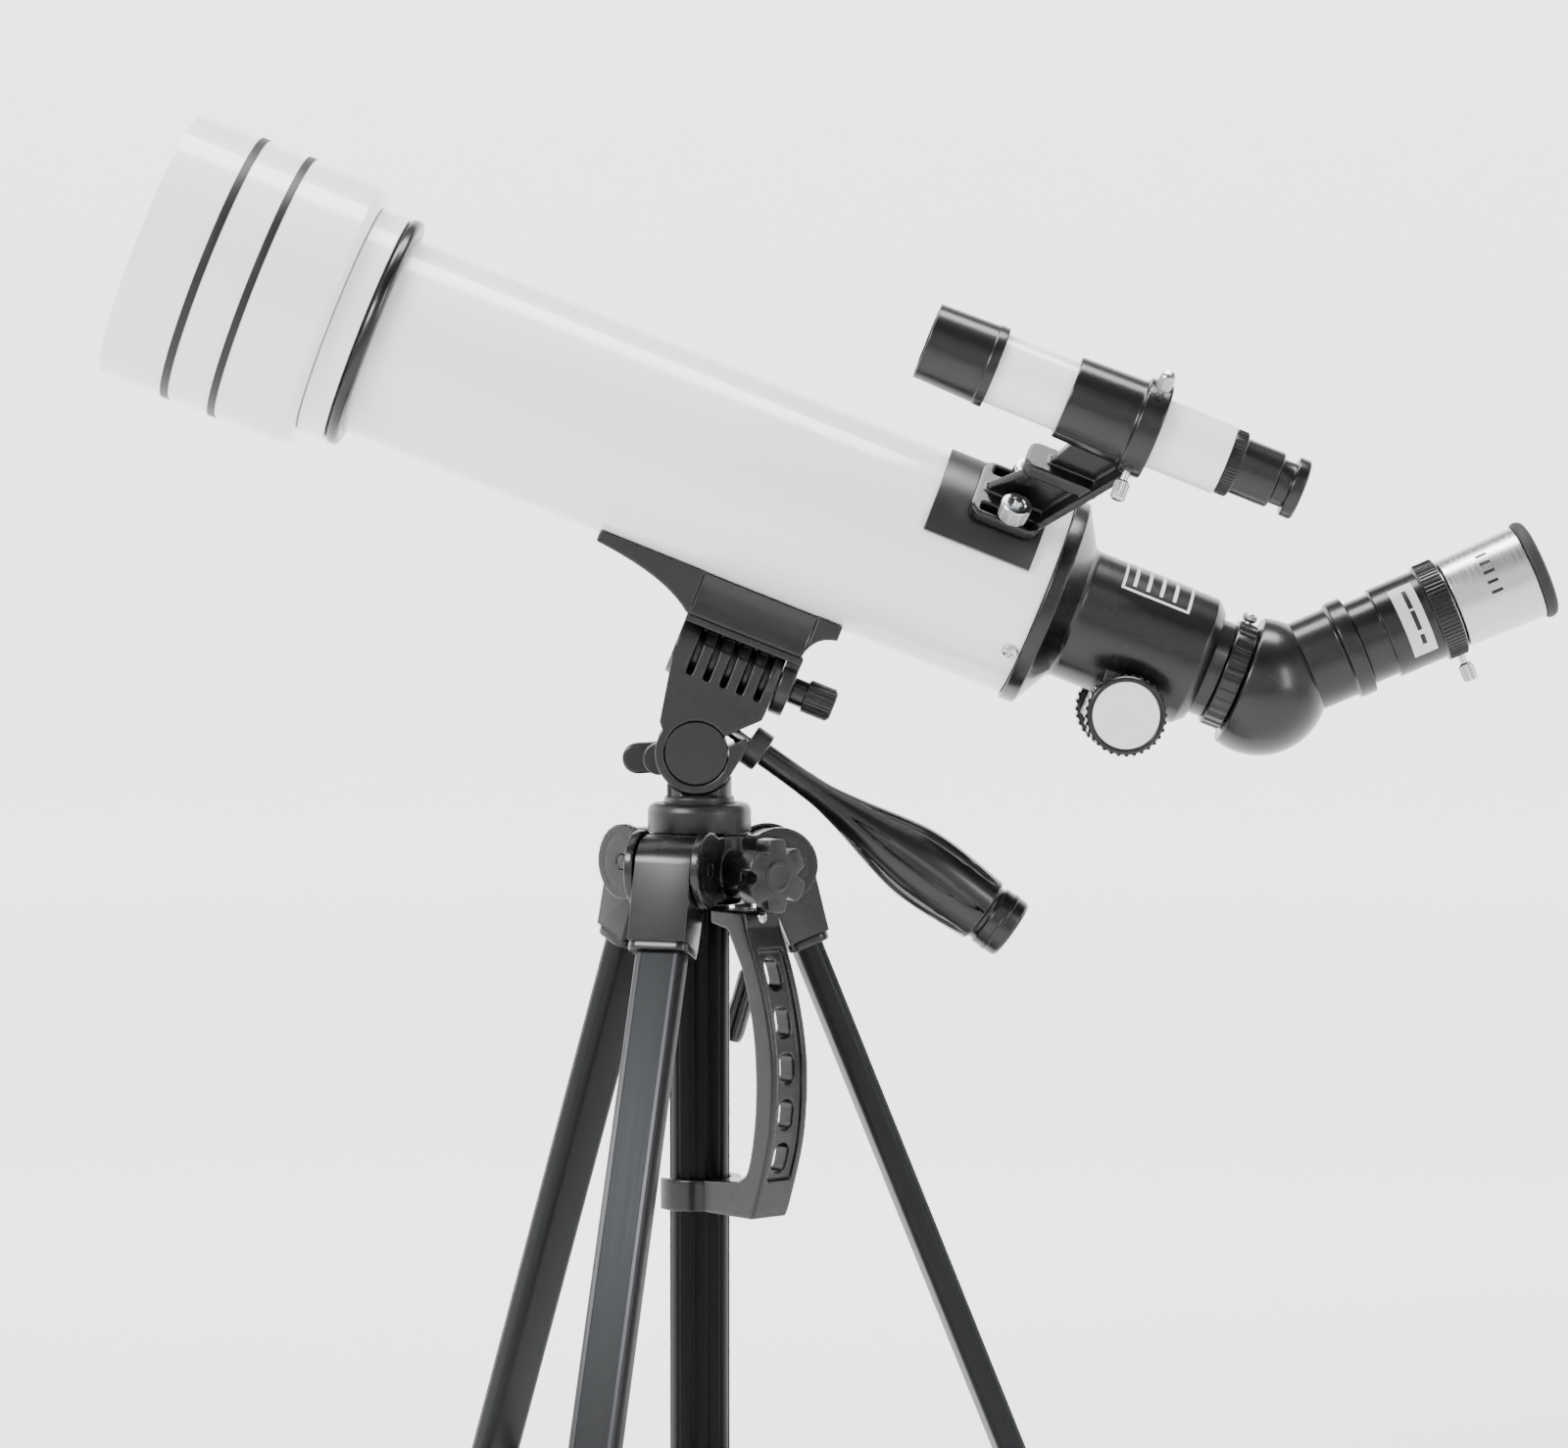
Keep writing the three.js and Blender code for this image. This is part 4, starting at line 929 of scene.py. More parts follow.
finished("finder_seat", "optical_tube", finder_z, [
    (seat_plate(40.2, 42.5, 33, 48.3, 92), satin_nylon)], "finder_base")
for label, side in STUDS.items():
    place = finder @ shift(78, side, 0)
    finished(f"finder_stud_{label}", "optical_tube", place, [
        (threaded(1.7, 42.5, 56.5), nickel)])
    finished(f"finder_knurled_nut_{label}", f"{label}_nut", place, [
        (turned([(1.95, 46.7), (5.3, 46.7), (5.75, 47.2), (5.75, 53.4), (5.2, 54), (3.4, 54),
                 (3.1, 53.6), (1.95, 53.6)], 0.3), nickel),
        (ribs(nickel, 54, 5.7, 47.3, 6.0, 0.26, 0.28), nickel),
    ], f"finder_nut_{label}")

pad = moved(bar(28.5, 29, 5, 41, PAD_FACE, 0.8), 75.75)
web = slab([(64, 45), (88, 45), (112, 92), (90, 92), (83, 72), (76, 62)], -2, 2, 0.5)
rib = slab([(87, 44), (90.5, 44), (115, 92), (112, 92)], -9, 9, 0.6)
ledge = moved(bar(31, 14, 4, 66, 72, 0.8), 89.5)
sleeve = moved(along_x(turned([(0, 78.6), (16.1, 78.6), (16.8, 105.5), (18.8, 105.9),
                               (18.8, 115), (0, 115)], 0.6, 128)), 0, 0, FINDER_RISE)
arm = carved([web, rib, ledge], [
    moved(rod(6.9, PAD_FACE, 57.5, 0), 78, side) for side in STUDS.values()])
bracket = cast([pad, arm, sleeve], [
    along_x(rod(TUBE_RADIUS + 3, 50, 100, 0, 128)),
    moved(along_x(turned([(0, 76), (14.1, 76), (14.1, 103), (15.4, 104), (15.4, 120), (0, 120)],
                         0, 96)), 0, 0, FINDER_RISE),
    *[block(66, 87, side - 2, side + 2, 38, 50, 0.1) for side in STUDS.values()],
], 0.45, 3)
finished("finder_bracket_moulding", "optical_tube", finder, [(bracket, gloss_abs)],
         "finder_bracket", crease=CAST_CREASE)

# %% [markdown]
# The finder's own optics follow: a white pipe, a black hood in front, a small lens and
# a focusing ocular with a knurled ring.

# %% Finder tube, hood, lens and ocular
scope_z = scope @ ALONG
finished("finder_pipe", "optical_tube", scope_z, [
    (turned([(12.3, 40), (13.8, 40), (13.8, 142.8), (8.4, 142.8), (8.4, 140), (12.3, 140)],
            0.6, 128), white_enamel)], "finder_tube")
finished("finder_hood_shell", "optical_tube", scope_z, [
    (turned([(13.4, 21.9), (14.8, 21.9), (15.5, 45.6), (15.9, 46.0), (15.9, 49.7), (14.1, 49.7),
             (14.1, 39.6), (13.4, 39.6)], 0.4, 128), gloss_abs)], "finder_hood")
finished("finder_objective", "optical_tube", scope_z, [
    (turned([(0, 42.6), (8, 43), (12, 44), (12, 46.6), (0, 46.2)], 0.2, 96), objective_glass),
], "finder_lens")
finished("finder_ocular_shell", "finder_ocular", scope_z, [
    (turned([(6.4, 132), (8.1, 132), (8.1, 143.1), (12.6, 143.1), (12.6, 148), (11, 148.2),
             (11, 163), (10.4, 163.6), (8.9, 163.8), (8.9, 168.7), (11.5, 168.9), (11.8, 169.4),
             (11.8, 173.2), (11.2, 173.9), (7.2, 173.9), (5.6, 170), (5.6, 150), (6.4, 148)],
            0.35), gloss_abs),
    (ribs(gloss_abs, 60, 12.5, 143.5, 4.1, 0.38, 0.42), gloss_abs),
    (turned([(0, 168.6), (5.5, 169), (5.5, 170.4), (0, 171)], 0.1, 48), ocular_glass),
], "finder_eyepiece")

# %% [markdown]
# ## Head
# The saddle and its platform are satin castings under the tube. Below them the tilting
# block is one moulding: a slotted barrel, a clamp ring round the trunnion, with a split
# that a screw closes, and a socket for the handle.

# %% Saddle and platform
BARREL_V, BARREL_RADIUS = 36.35, 11.35


def curve(start, bend, end, steps=10):
    """Points along a bend with one control point, without its start."""
    points = []
    for i in range(1, steps + 1):
        t = i / steps
        a, b = Vector(start).lerp(Vector(bend), t), Vector(bend).lerp(Vector(end), t)
        points.append(tuple(a.lerp(b, t)))
    return points


cradle = [(-66.8, 68.6), (-66.8, 62.4), *curve((-66.8, 62.4), (-36, 59.5), (-24, 49.6)),
          (24, 49.6), *curve((24, 49.6), (25.5, 59.6), (34.7, 61)), (34.7, 68.6)]
along_tube = moved(along_x(rod(TUBE_RADIUS + 0.5, -80, 60, 0, 160)), 0, 0, AXIS_RISE)
hollows = [moved(along_x(rod(14, -23, 24.5, 0, 96)), 0, side, 59.5) for side in (-24.3, 24.3)]
finished("tube_saddle", "optical_tube", telescope, [
    (cast([slab(cradle, -13, 13, 1.2)], [along_tube, *hollows], 0.5, 3), satin_nylon),
], "saddle", crease=CAST_CREASE)

plate = block(-23.5, 25.3, -11, 11, BARREL_V + BARREL_RADIUS + 0.4, 49.9, 0.5)
lip = block(-23.5, 25.3, -11, -9.6, 46.6, 49.6, 0.4)
lug = moved(along_x(rod(BARREL_RADIUS, 19.7, 25.3, 0.6)), 0, 0, BARREL_V)
cheek = block(19.7, 25.3, -8, 8, BARREL_V, 49.3, 0.5)
axle = moved(along_x(rod(5, -20, 20)), 0, 0, BARREL_V)
opening = moved(along_x(rod(2.7, 12, 30, 0)), 0, 0, BARREL_V)
finished("tilting_platform", "optical_tube", telescope, [
    (cast([plate, lip, lug, cheek], [opening], 0.45, 3), satin_nylon), (axle, nickel),
], "flip_platform", crease=CAST_CREASE)

knob_z = telescope @ shift(0, 0, BARREL_V) @ ALONG
finished("side_knob_fluted", "side_knob", knob_z, [
    (turned([(0, 13), (2.4, 13), (2.4, 25.6), (5.35, 25.6), (5.35, 31), (6.1, 31.3),
             (6.1, 42.6), (5.6, 43.2), (4.2, 43.2), (4.0, 42.8), (0, 42.8)], 0.3, 64), gloss_abs),
    (ribs(gloss_abs, 16, 6.0, 31.6, 10.6, 0.75, 0.62), gloss_abs),
], "flip_knob")
print("saddle and platform ready")


# %% [markdown]
# The block's side outline is cut from a slab, and a round barrel crosses its top. Five
# grooves run round the barrel's front, with small windows above them and ring marks
# below.

# %% Tilting block
def arc(radius, first, last, steps=24, x=0.0, z=0.0):
    return [(x + radius * math.cos(first + (last - first) * i / steps),
             z + radius * math.sin(first + (last - first) * i / steps)) for i in range(steps + 1)]


HANDLE_SEAT = shift(24.6, 0, 8.96) @ swivel(13.6, "Y")


def handle_socket(radius, low, high, edge=0.4):
    made = along_x(rod(radius, low, high, edge))
    made.transform(HANDLE_SEAT)
    return made


LOCK_X, LOCK_Z = -12.4, -8.5
side = [(-18.5, 46), *curve((-18.5, 46), (-23, 43.5), (-23.9, 37.9)), (-17.8, 6), (-15.6, 3.6),
        *arc(16, math.pi - 0.23, math.pi * 2 - 0.19, 40), (17.9, 9.6), (16.1, 12.6),
        (10.4, 6.9), (8, 10.3), (19, 21.3), (19.3, 25), (19.3, 38), (12, 46)]
SLOT_PITCH, SLOT_WIDTH = 7.03, 2.8
body = carved([slab(side, -11.35, 11.35, 0.9, 0.5)], [block(-30, 30, -20, 20, BARREL_V, 60, 0)])
barrel_rod = moved(along_x(rod(BARREL_RADIUS, -23.4, 19.3, 0.8, 128)), 0, 0, BARREL_V)
end_ring = along_x(turned([(9, 14.6), (12.0, 14.6), (12.0, 17.8), (9, 17.8)], 0.4))
end_ring = moved(end_ring, 0, 0, BARREL_V)
boss = moved(along_y(rod(6.3, 6.6, 14)), LOCK_X, 0, LOCK_Z)


def round_barrel(first, width, depth, low, high):
    """A groove round the front of the barrel, between two heights."""
    groove = along_x(turned([(BARREL_RADIUS - depth, first), (20, first),
                             (20, first + width), (BARREL_RADIUS - depth, first + width)], 0, 96))
    groove = moved(groove, 0, 0, BARREL_V)
    behind, under = block(-40, 40, 0, 40, 0, 80, 0), block(-40, 40, -40, 40, 0, low, 0)
    return carved([groove], [behind, under, block(-40, 40, -40, 40, high, 80, 0)])


slots = [round_barrel(-15.6 + i * SLOT_PITCH, SLOT_WIDTH, 3.2, 27.6, 47.0) for i in range(5)]
windows = [round_barrel(-12.5 + i * SLOT_PITCH, 3.7, 1.1, 40.6, 45.8) for i in range(4)]
ring = [(1.8, -11.5), (2.1, -11.5), (2.1, -11.2), (1.8, -11.2)]
marks = [(moved(along_y(turned(ring, 0, 40)), -13.6 + i * SLOT_PITCH, 0, 20.6), black_band)
         for i in range(5)]
tilting = cast([body, barrel_rod, end_ring, handle_socket(8.05, -7.5, 0), boss], [
    along_y(rod(12.65, -20, 20, 0, 128)),
    block(-24, 30, -6.4, 6.4, -20, 1.6, 0),
    moved(along_x(rod(5.4, -21, 30, 0)), 0, 0, BARREL_V),
    moved(along_y(rod(1.9, 8, 30, 0)), LOCK_X, 0, LOCK_Z),
    handle_socket(2.8, -22, 2, 0), *slots, *windows], 0.44, 2)
split_screw = threaded(1.9, 0, 9)
split_screw.transform(shift(11.0, 0, 12.8) @ swivel(-45, "Y") @ shift(0, 0, -4.5))
finished("tilting_block", "tilt_head", telescope, [
    (tilting, satin_nylon), (split_screw, nickel), *marks], "tilt_block", crease=CAST_CREASE)
print("slots", len(slots), "pitch", SLOT_PITCH, "mm")

# %% [markdown]
# A two-lobed wing on a short hub clamps the ring round the trunnion. It is turned by
# hand, so all its edges are round.

# %% Tilt lock
wing = slab(rounded(29.6, 12.4, 6.1), 20.7, 25.2, 1.2, 0)
dishes = [moved(along_y(rod(4.4, 24.2, 26.0, 0)), side) for side in (9.0, -9.0)]
lever = cast([wing, along_y(rod(5.5, 14.4, 26.4, 0.8))], dishes, 0.4, 3)
lock_place = telescope @ shift(LOCK_X, 0, LOCK_Z) @ swivel(-25, "Y")
finished("tilt_wing_lever", "tilt_wing", lock_place, [
    (lever, gloss_abs), (along_y(rod(1.6, 8.6, 16)), nickel)], "tilt_lock", crease=CAST_CREASE)

# %% [markdown]
# ## Pan handle
# The grip swells and carries six long oval flutes. A lathe with a relief makes them:
# the radius is lowered where a flute runs, deepest on its middle line. The profile is
# sampled closely by a smooth curve through the measured radii.


# %% A smooth curve through points
def through(points, steps=6):
    """A Catmull-Rom curve through the points."""
    result = []
    ends = [points[0], *points, points[-1]]
    for a, b, c, d in zip(ends, ends[1:], ends[2:], ends[3:]):
        for i in range(steps):
            t = i / steps
            result.append(tuple(0.5 * (2 * b[k] + (c[k] - a[k]) * t
                                + (2 * a[k] - 5 * b[k] + 4 * c[k] - d[k]) * t * t
                                + (3 * b[k] - a[k] - 3 * c[k] + d[k]) * t ** 3) for k in range(2)))
    return [*result, points[-1]]


# %% [markdown]
# A flute is deepest on its middle line and fades out at both ends. Six of them are
# spaced evenly round the grip.

# %% Handle with flutes
def flutes(angle, height):
    reach = (height - 74) / 31
    if abs(reach) >= 1:
        return 0
    side = abs((angle * 6 / (2 * math.pi)) % 1 - 0.5) * 2
    width = 0.34 * (1 - reach ** 4)
    return 0.9 * (1 - (side / width) ** 4) if side < width else 0


grip = through([(4.7, 14), (4.9, 20), (5.6, 30), (8.4, 44), (11.8, 58), (14.2, 70), (14.8, 80),
                (14.3, 92), (13.1, 106)], 8)
handle_z = telescope @ HANDLE_SEAT @ ALONG
finished("pan_handle_grip", "handle", handle_z, [
    (rod(2.4, -19.5, 1), nickel),
    (turned([(0, 0.3), (4.7, 0.3), (4.7, 14), *grip[1:], (11.4, 106.8), (11.4, 108.2),
             (12.3, 109), (12.3, 118.4), (11.4, 119.6), (0, 119.6)], 0.35, 192, flutes), gloss_abs),
    (turned([(11.0, 112.6), (12.7, 112.9), (12.7, 114.6), (11.0, 114.9)], 0.3), gloss_abs),
    (rod(4.6, 119.2, 120.0), satin_nylon),
], "pan_handle", crease=CAST_CREASE)
print("grip rings", len(grip))

# %% [markdown]
# The neck is a short turned stem with a tongue that carries the trunnion. It is cut
# round so that the clamp ring and the lock clear it.

# %% Pan neck
NECK_X = 1.2
stem = turned([(0, -21.3), (13.8, -21.3), (13.8, -17.4), (12.7, -17.1), (12.7, -6), (0, -6)],
              0.5)
stem = moved(stem, NECK_X)
recess = block(NECK_X - 8, NECK_X + 8, -14.5, -10.4, -16.6, -9, 0.4)
clearances = [along_y(rod(16.5, -30, 30, 0, 96)), along_y(rod(21.9, 6.3, 30, 0, 96))]
stem = cast([stem], [*clearances, recess], 0.4, 2)
tongue = block(-11.3, 11.3, -6, 6, -19, -2, 0.4)
half = [(12.1, 11.2), (12.2, 10.4), (12.5, 10.2)]
trunnion = along_y(turned([(0, -11.2), *[(radius, -height) for radius, height in half],
                           *half[::-1], (0, 11.2)], 0.2, 128))
finished("pan_neck_casting", "neck", head, [
    (stem, satin_nylon), (tongue, satin_nylon), (trunnion, satin_nylon),
], "pan_neck", crease=CAST_CREASE)

# %% [markdown]
# ## Stand
# The column lifts in a guide tube, which hangs from the shoulder. The shoulder is a gloss
# casting with three pairs of round ears, one pair for each leg. Its bosses
# carry the star knob in front and the crank behind.

# %% Column and guide tube
top, low = 44.1, 110 - HINGE_MM
finished("column_tube", "column", stand, [
    (turned([(0, top - 21.7), (14.3, top - 21.7), (14.9, top - 19.9), (17.2, top - 19.7),
             (19.4, top - 20.6), (20.3, top - 22.8), (20.3, top - 31.2), (9.6, top - 31.2),
             (9.6, top - 34), (0, top - 34)], 0.7), satin_nylon),
    (hoop(column_metal, 9.6, 1.4, low, top - 30), column_metal),
], "centre_column")


def grooves(angle, height):
    """Grooves that run down the guide tube, 12 round it, and end below its rim."""
    return 0.35 if height < 9.1 and abs((angle * 12 / (2 * math.pi)) % 1 - 0.5) < 0.11 else 0


foot = 62 - HINGE_MM
finished("column_guide", "stand", stand, [
    (turned([(11.5, foot), (11.75, foot + 0.4), (11.75, 9), (11.5, 9.2), (10.1, 9.2),
             (10.1, foot)], 0, 144, grooves), column_metal),
], "guide_tube")

# %% [markdown]
# The shoulder starts as a turned drum. A pair of round ears is added for each leg, then
# the bosses for the knob and the crank, and the bores are cut last.

# %% Shoulder
LEG_AZIMUTHS = {"right": 10.5, "back": 130.5, "front": 250.5}
KNOB_AZIMUTH, CRANK_AZIMUTH = -49.5, 70.5
BOSS_Z = -2


def swung(made, azimuth):
    return turned_over(made, "Z", azimuth)


ear = [(10, -13), (HINGE_REACH - 7.5, -13),
       *arc(15, -math.pi * 2 / 3, math.pi * 0.7, 40, HINGE_REACH), (10, 12.1)]
solids = [turned([(0, -15), (18.5, -15), (20.5, -12), (20.5, 12.3), (0, 12.3)], 1.0)]
pockets = []
for azimuth in LEG_AZIMUTHS.values():
    solids += [swung(slab(ear, near, near + 3.4, 0.6, 0), azimuth) for near in (-15.3, 11.9)]
    pockets += [swung(moved(along_y(rod(13.8, -12.1, 12.1, 0, 96)), HINGE_REACH), azimuth),
                swung(moved(along_y(rod(3.2, -18, 18, 0, 48)), HINGE_REACH), azimuth),
                swung(block(20.7, 60, -12.1, 12.1, -40, -8, 0), azimuth)]
    for near in (-15.7, 14.8):
        line = [(10.4, near), (11.2, near), (11.2, near + 0.9), (10.4, near + 0.9)]
        pockets.append(swung(moved(along_y(turned(line, 0, 96)), HINGE_REACH), azimuth))
pockets += [rod(12.05, -30, 9.5, 0), rod(10, 0, 20, 0)]
for azimuth, radius, reach in ((KNOB_AZIMUTH, 8.5, 35), (CRANK_AZIMUTH, 8, 29)):
    solids.append(swung(moved(along_x(rod(radius, 12, reach, 0.8)), 0, 0, BOSS_Z), azimuth))
    pockets.append(swung(moved(along_x(rod(3.3, 5, 45, 0)), 0, 0, BOSS_Z), azimuth))
finished("shoulder_casting", "stand", stand, [(cast(solids, pockets, 0.55, 2), gloss_abs)],
         "shoulder", crease=CAST_CREASE)
print("leg ears", 2 * len(LEG_AZIMUTHS))

# %% [markdown]
# The star knob's outline is a circle with six deep scallops. The crank is a shaft, a
# flat arm and a grip that turns on its pin.

# %% Star knob and crank
knob_place = stand @ swivel(KNOB_AZIMUTH, "Z") @ shift(0, 0, BOSS_Z) @ ALONG


def scalloped(angle):
    """The star's radius: broad lobes with a deep round scallop between them."""
    return 14.4 - 4.3 * max(0, -math.cos(6 * angle)) ** 1.3


star = [(scalloped(a) * math.cos(a), scalloped(a) * math.sin(a))
        for a in [2 * math.pi * i / 192 for i in range(192)]]
finished("star_knob_moulding", "column_lock", knob_place, [
    (prism(star, 38.5, 47, 1.3), gloss_abs), (rod(7, 35.3, 39), gloss_abs),
    (turned([(0, 46.6), (6.2, 46.6), (6.2, 47.3), (5.6, 47.9), (4.4, 47.9), (4.2, 47.5),
             (0, 47.5)], 0.25), satin_nylon),
    (rod(3, 10.4, 39), nickel),
], "star_knob")

crank_place = stand @ swivel(CRANK_AZIMUTH, "Z")
CRANK_REACH = 43.5
grip_tip = shift(CRANK_REACH, -7, -44) @ swivel(198.3, "X")
crank_bar = bar(3.8, 7.6, 1.6, -42, 2, 0.6)
crank_bar.transform(shift(CRANK_REACH, 0, BOSS_Z) @ swivel(-9.5, "X"))
pin = rod(1.5, -3, 19)
pin.transform(grip_tip)
finished("crank_lever", "crank", crank_place, [
    (moved(along_x(rod(3, 10.4, CRANK_REACH)), 0, 0, BOSS_Z), nickel),
    (moved(along_x(rod(6.5, 30, CRANK_REACH + 2.5, 0.8)), 0, 0, BOSS_Z), satin_nylon),
    (crank_bar, satin_nylon), (pin, nickel),
], "crank_arm")
finished("crank_handgrip", "crank_grip", crank_place @ grip_tip, [
    (turned([(1.8, 2.4), (4.2, 2.4), (4.9, 3.6), (4.5, 14), (4.9, 27), (4.7, 29), (4.1, 31),
             (0, 31)], 0.6, 64), gloss_abs)], "crank_knob")

# %% [markdown]
# ## Carry handle
# A bowed grip bridges the shoulder and a clip on the guide tube. A channel runs down the
# outer face, and five rounded holes pierce its floor.

# %% Carry handle
outer_bow = through([(38.5, -22), (47, -42), (52.6, -62), (54.4, -80.5), (52, -105),
                     (43.5, -131)])
inner_bow = through([(33, -121), (39, -116), (43, -98), (43.8, -78), (41.4, -58), (35.5, -38)])
bow = slab([(17, -16), (37, -16), *outer_bow, (41.5, -135), (13, -135), (13, -122.5),
            *inner_bow, (27, -23.5), (17, -21.5)], -9, 9, 1.4, 0.8)
channel = slab([*[(reach - 1.9, height) for reach, height in outer_bow[3:-3]],
                (66, -124), (66, -28)], -6, 6, 0, 0)
clip = turned([(12.15, -135), (16.4, -135), (16.4, -122.5), (12.15, -122.5)], 0.6)
mouth = turned_over(block(-40, 2, -13, 9, -140, -118, 0), "Z", 14)
holes = []
for height in (-40, -58.3, -76, -93.9, -111):
    hole = turned_over(turned_over(bar(7, 12, 3.4, 30, 60, 0), "Y", 90), "X", 90)
    holes.append(moved(hole, 0, 0, height))
handle_cast = cast([bow, carved([clip], [mouth])], [rod(12.15, -140, 0, 0), channel, *holes],
                   0.55, 3)
carry_place = stand @ swivel(KNOB_AZIMUTH, "Z")
finished("carry_handle_moulding", "stand", carry_place, [(handle_cast, gloss_abs)],
         "carry_handle", crease=CAST_CREASE)
screw_place = carry_place @ shift(0, 0, -18.6) @ ALONG
finished("bracket_screw", "stand", screw_place, cross_head(37.2, 38.8, 2.4, 30))
print("finger holes", len(holes))

# %% [markdown]
# ## Legs
# Each leg is a drawn tube with a broad rounded face and a bead along both edges, whose lighter tone
# is a painted highlight.
# It hangs from a round knuckle, and a slimmer tube slides inside it. A lever at its end
# clamps that tube. The three legs share their drawings and differ in their place.

# %% One leg, three times
LEG_LENGTH = HINGE_MM / math.cos(LEG_TILT)
LOCK_TOP, LOCK_BOTTOM = -306, -331
BRACE_ON_LEG, HUB_RISE, HUB_REACH = 280, 102 - HINGE_MM, 22
run = HINGE_REACH + BRACE_ON_LEG * math.sin(LEG_TILT) - HUB_REACH
fall = HUB_RISE + BRACE_ON_LEG * math.cos(LEG_TILT)
BRACE_LENGTH = math.hypot(run, fall)
bore = (7.9, 17.4)


def leg_section(low, high):
    """A leg tube: broad face, hollow, with a bead at both edges, whose lighter tone is a painted
    highlight.
    """
    outside = bar(10.5, 20, 3.6, low, high, 0.3)
    return [(carved([outside], [bar(*bore, 2.4, low - 20, high - 14, 0)]), anodised),
            # The beads' lighter metal is a painted highlight along the leg's edges.
            *[(moved(bar(1.5, 2.6, 0.7, LOCK_TOP, -34, 0.1), 4.6, side), edge_highlight_and_slide_metal)
              for side in (-7.4, 7.4)]]


def upper_leg():
    lever_seat = block(7, 11.5, -6.5, 6.5, -318, LOCK_TOP - 2, 0.8)
    clamp = carved([bar(15, 24, 4, LOCK_BOTTOM, LOCK_TOP, 1.0), lever_seat],
                   [bar(*bore, 2.4, -340, -280, 0), block(7.6, 14, -4.4, 4.4, -340, -300, 0)])
    crown = arc(13.4, math.radians(-8), math.radians(214), 40)
    boot = slab([*crown, (-7.6, -11), (-7.6, -31.4), (9.0, -31.4)], -11.7, 11.7, 1.6, 0.6)
    return [(boot, gloss_abs), (along_y(rod(2.9, -15.2, 15.2, 0.3, 48)), gloss_abs),
            (bar(17.0, 24.8, 4.6, -34.5, -30.9, 0.8), gloss_abs),
            *leg_section(LOCK_TOP - 4, -20), (clamp, gloss_abs)]


def lever_parts():
    arm_shape = [(8.3, -313), (13.9, -313), (12.9, -325), (12.4, -337), (9.4, -337),
                 (8.6, -325)]
    return [(moved(along_y(rod(3, -4.1, 4.1)), 10.9, 0, -313), gloss_abs),
            (slab(arm_shape, -4.1, 4.1, 0.6), gloss_abs)]


def foot_parts():
    shoe = bar(14, 22, 4, -LEG_LENGTH - 12, -LEG_LENGTH + 22, 1.4)
    floor = turned_over(block(-60, 60, -60, 60, -60, 0, 0), "Y", math.degrees(LEG_TILT))
    trimmed = carved([shoe], [moved(floor, 0, 0, -LEG_LENGTH)])
    sole = -LEG_LENGTH
    tread = [bar(14.7, 22.7, 4.2, sole + 9 + 3.4 * i, sole + 10.6 + 3.4 * i, 0.5)
             for i in range(3)]
    return [(made, soft_rubber) for made in (trimmed, *tread)]


def brace_parts():
    parts = [(along_y(rod(3.4, -4, 4)), anodised), (block(0, 12, -4, 4, -1.8, 1.8), anodised),
             (block(8, 34, -12.6, 12.6, -1.6, 1.6, 0.5), anodised)]
    for low in (-12.6, 10.5):
        tip = arc(3.6, -math.pi / 2, math.pi / 2, 16, BRACE_LENGTH)
        strap = [(12, -3.6), (BRACE_LENGTH, -3.6), *tip, (12, 3.6)]
        parts.append((slab(strap, low, low + 2.1, 0.4, 0), anodised))
        parts.append((moved(along_y(rod(2.2, low - 0.5, low + 2.6)), BRACE_LENGTH), nickel))
    return parts


for name in LEG_NAMES:
    hang = leg_frame(name)
    finished(f"leg_{name}_tube", f"leg_{name}", hang, upper_leg(), f"leg_upper_{name}")
    finished(f"leg_{name}_lever", f"lever_{name}", hang, lever_parts(), f"leg_lever_{name}")
    finished(f"leg_{name}_slide", f"shank_{name}", hang, [
        (bar(7.2, 16.7, 2.1, -LEG_LENGTH + 10, -62), edge_highlight_and_slide_metal)], f"leg_lower_{name}")
    finished(f"leg_{name}_shoe", f"shank_{name}", hang, foot_parts(), f"foot_{name}")
    strut = (facing(f"fold_{name}", HUB_RISE) @ shift(HUB_REACH, 0, 0)
             @ Matrix.Rotation(math.atan2(fall, run), 4, "Y"))
    finished(f"leg_{name}_brace", f"strut_{name}", strut, brace_parts(), f"brace_{name}")
print("brace length", round(BRACE_LENGTH, 2), "mm")

# %% [markdown]
# The hub slides on the guide tube. Three forks on it hold the inner ends of the braces.

# %% Spreader hub
hub_solids = [rod(17, -7, 7, 0.8)]
hub_cuts = [rod(12.15, -20, 20, 0)]
for azimuth in LEG_AZIMUTHS.values():
    hub_solids.append(swung(block(12.5, 25.5, -7, 7, -5, 5, 0.5), azimuth))
    hub_cuts.append(swung(block(17.8, 40, -4.4, 4.4, -10, 10, 0), azimuth))
hub_pins = [(swung(moved(along_y(rod(1.5, -6, 6)), HUB_REACH), azimuth), nickel)
            for azimuth in LEG_AZIMUTHS.values()]
finished("spreader_hub_casting", "hub", stand @ shift(0, 0, HUB_RISE), [
    (cast(hub_solids, hub_cuts, 0.5, 2), gloss_abs), *hub_pins], "spreader_hub", crease=CAST_CREASE)

# %% [markdown]
# ## Studio
# The floor is a wide pale paper bowl, so every side has the same plain backdrop. It
# glows a little, more behind the object than in front, like paper with lamps behind
# it: the backdrop stays pale while the black plastic keeps dark, clear reflections.
# The camera has a long lens and stands level with the tube.

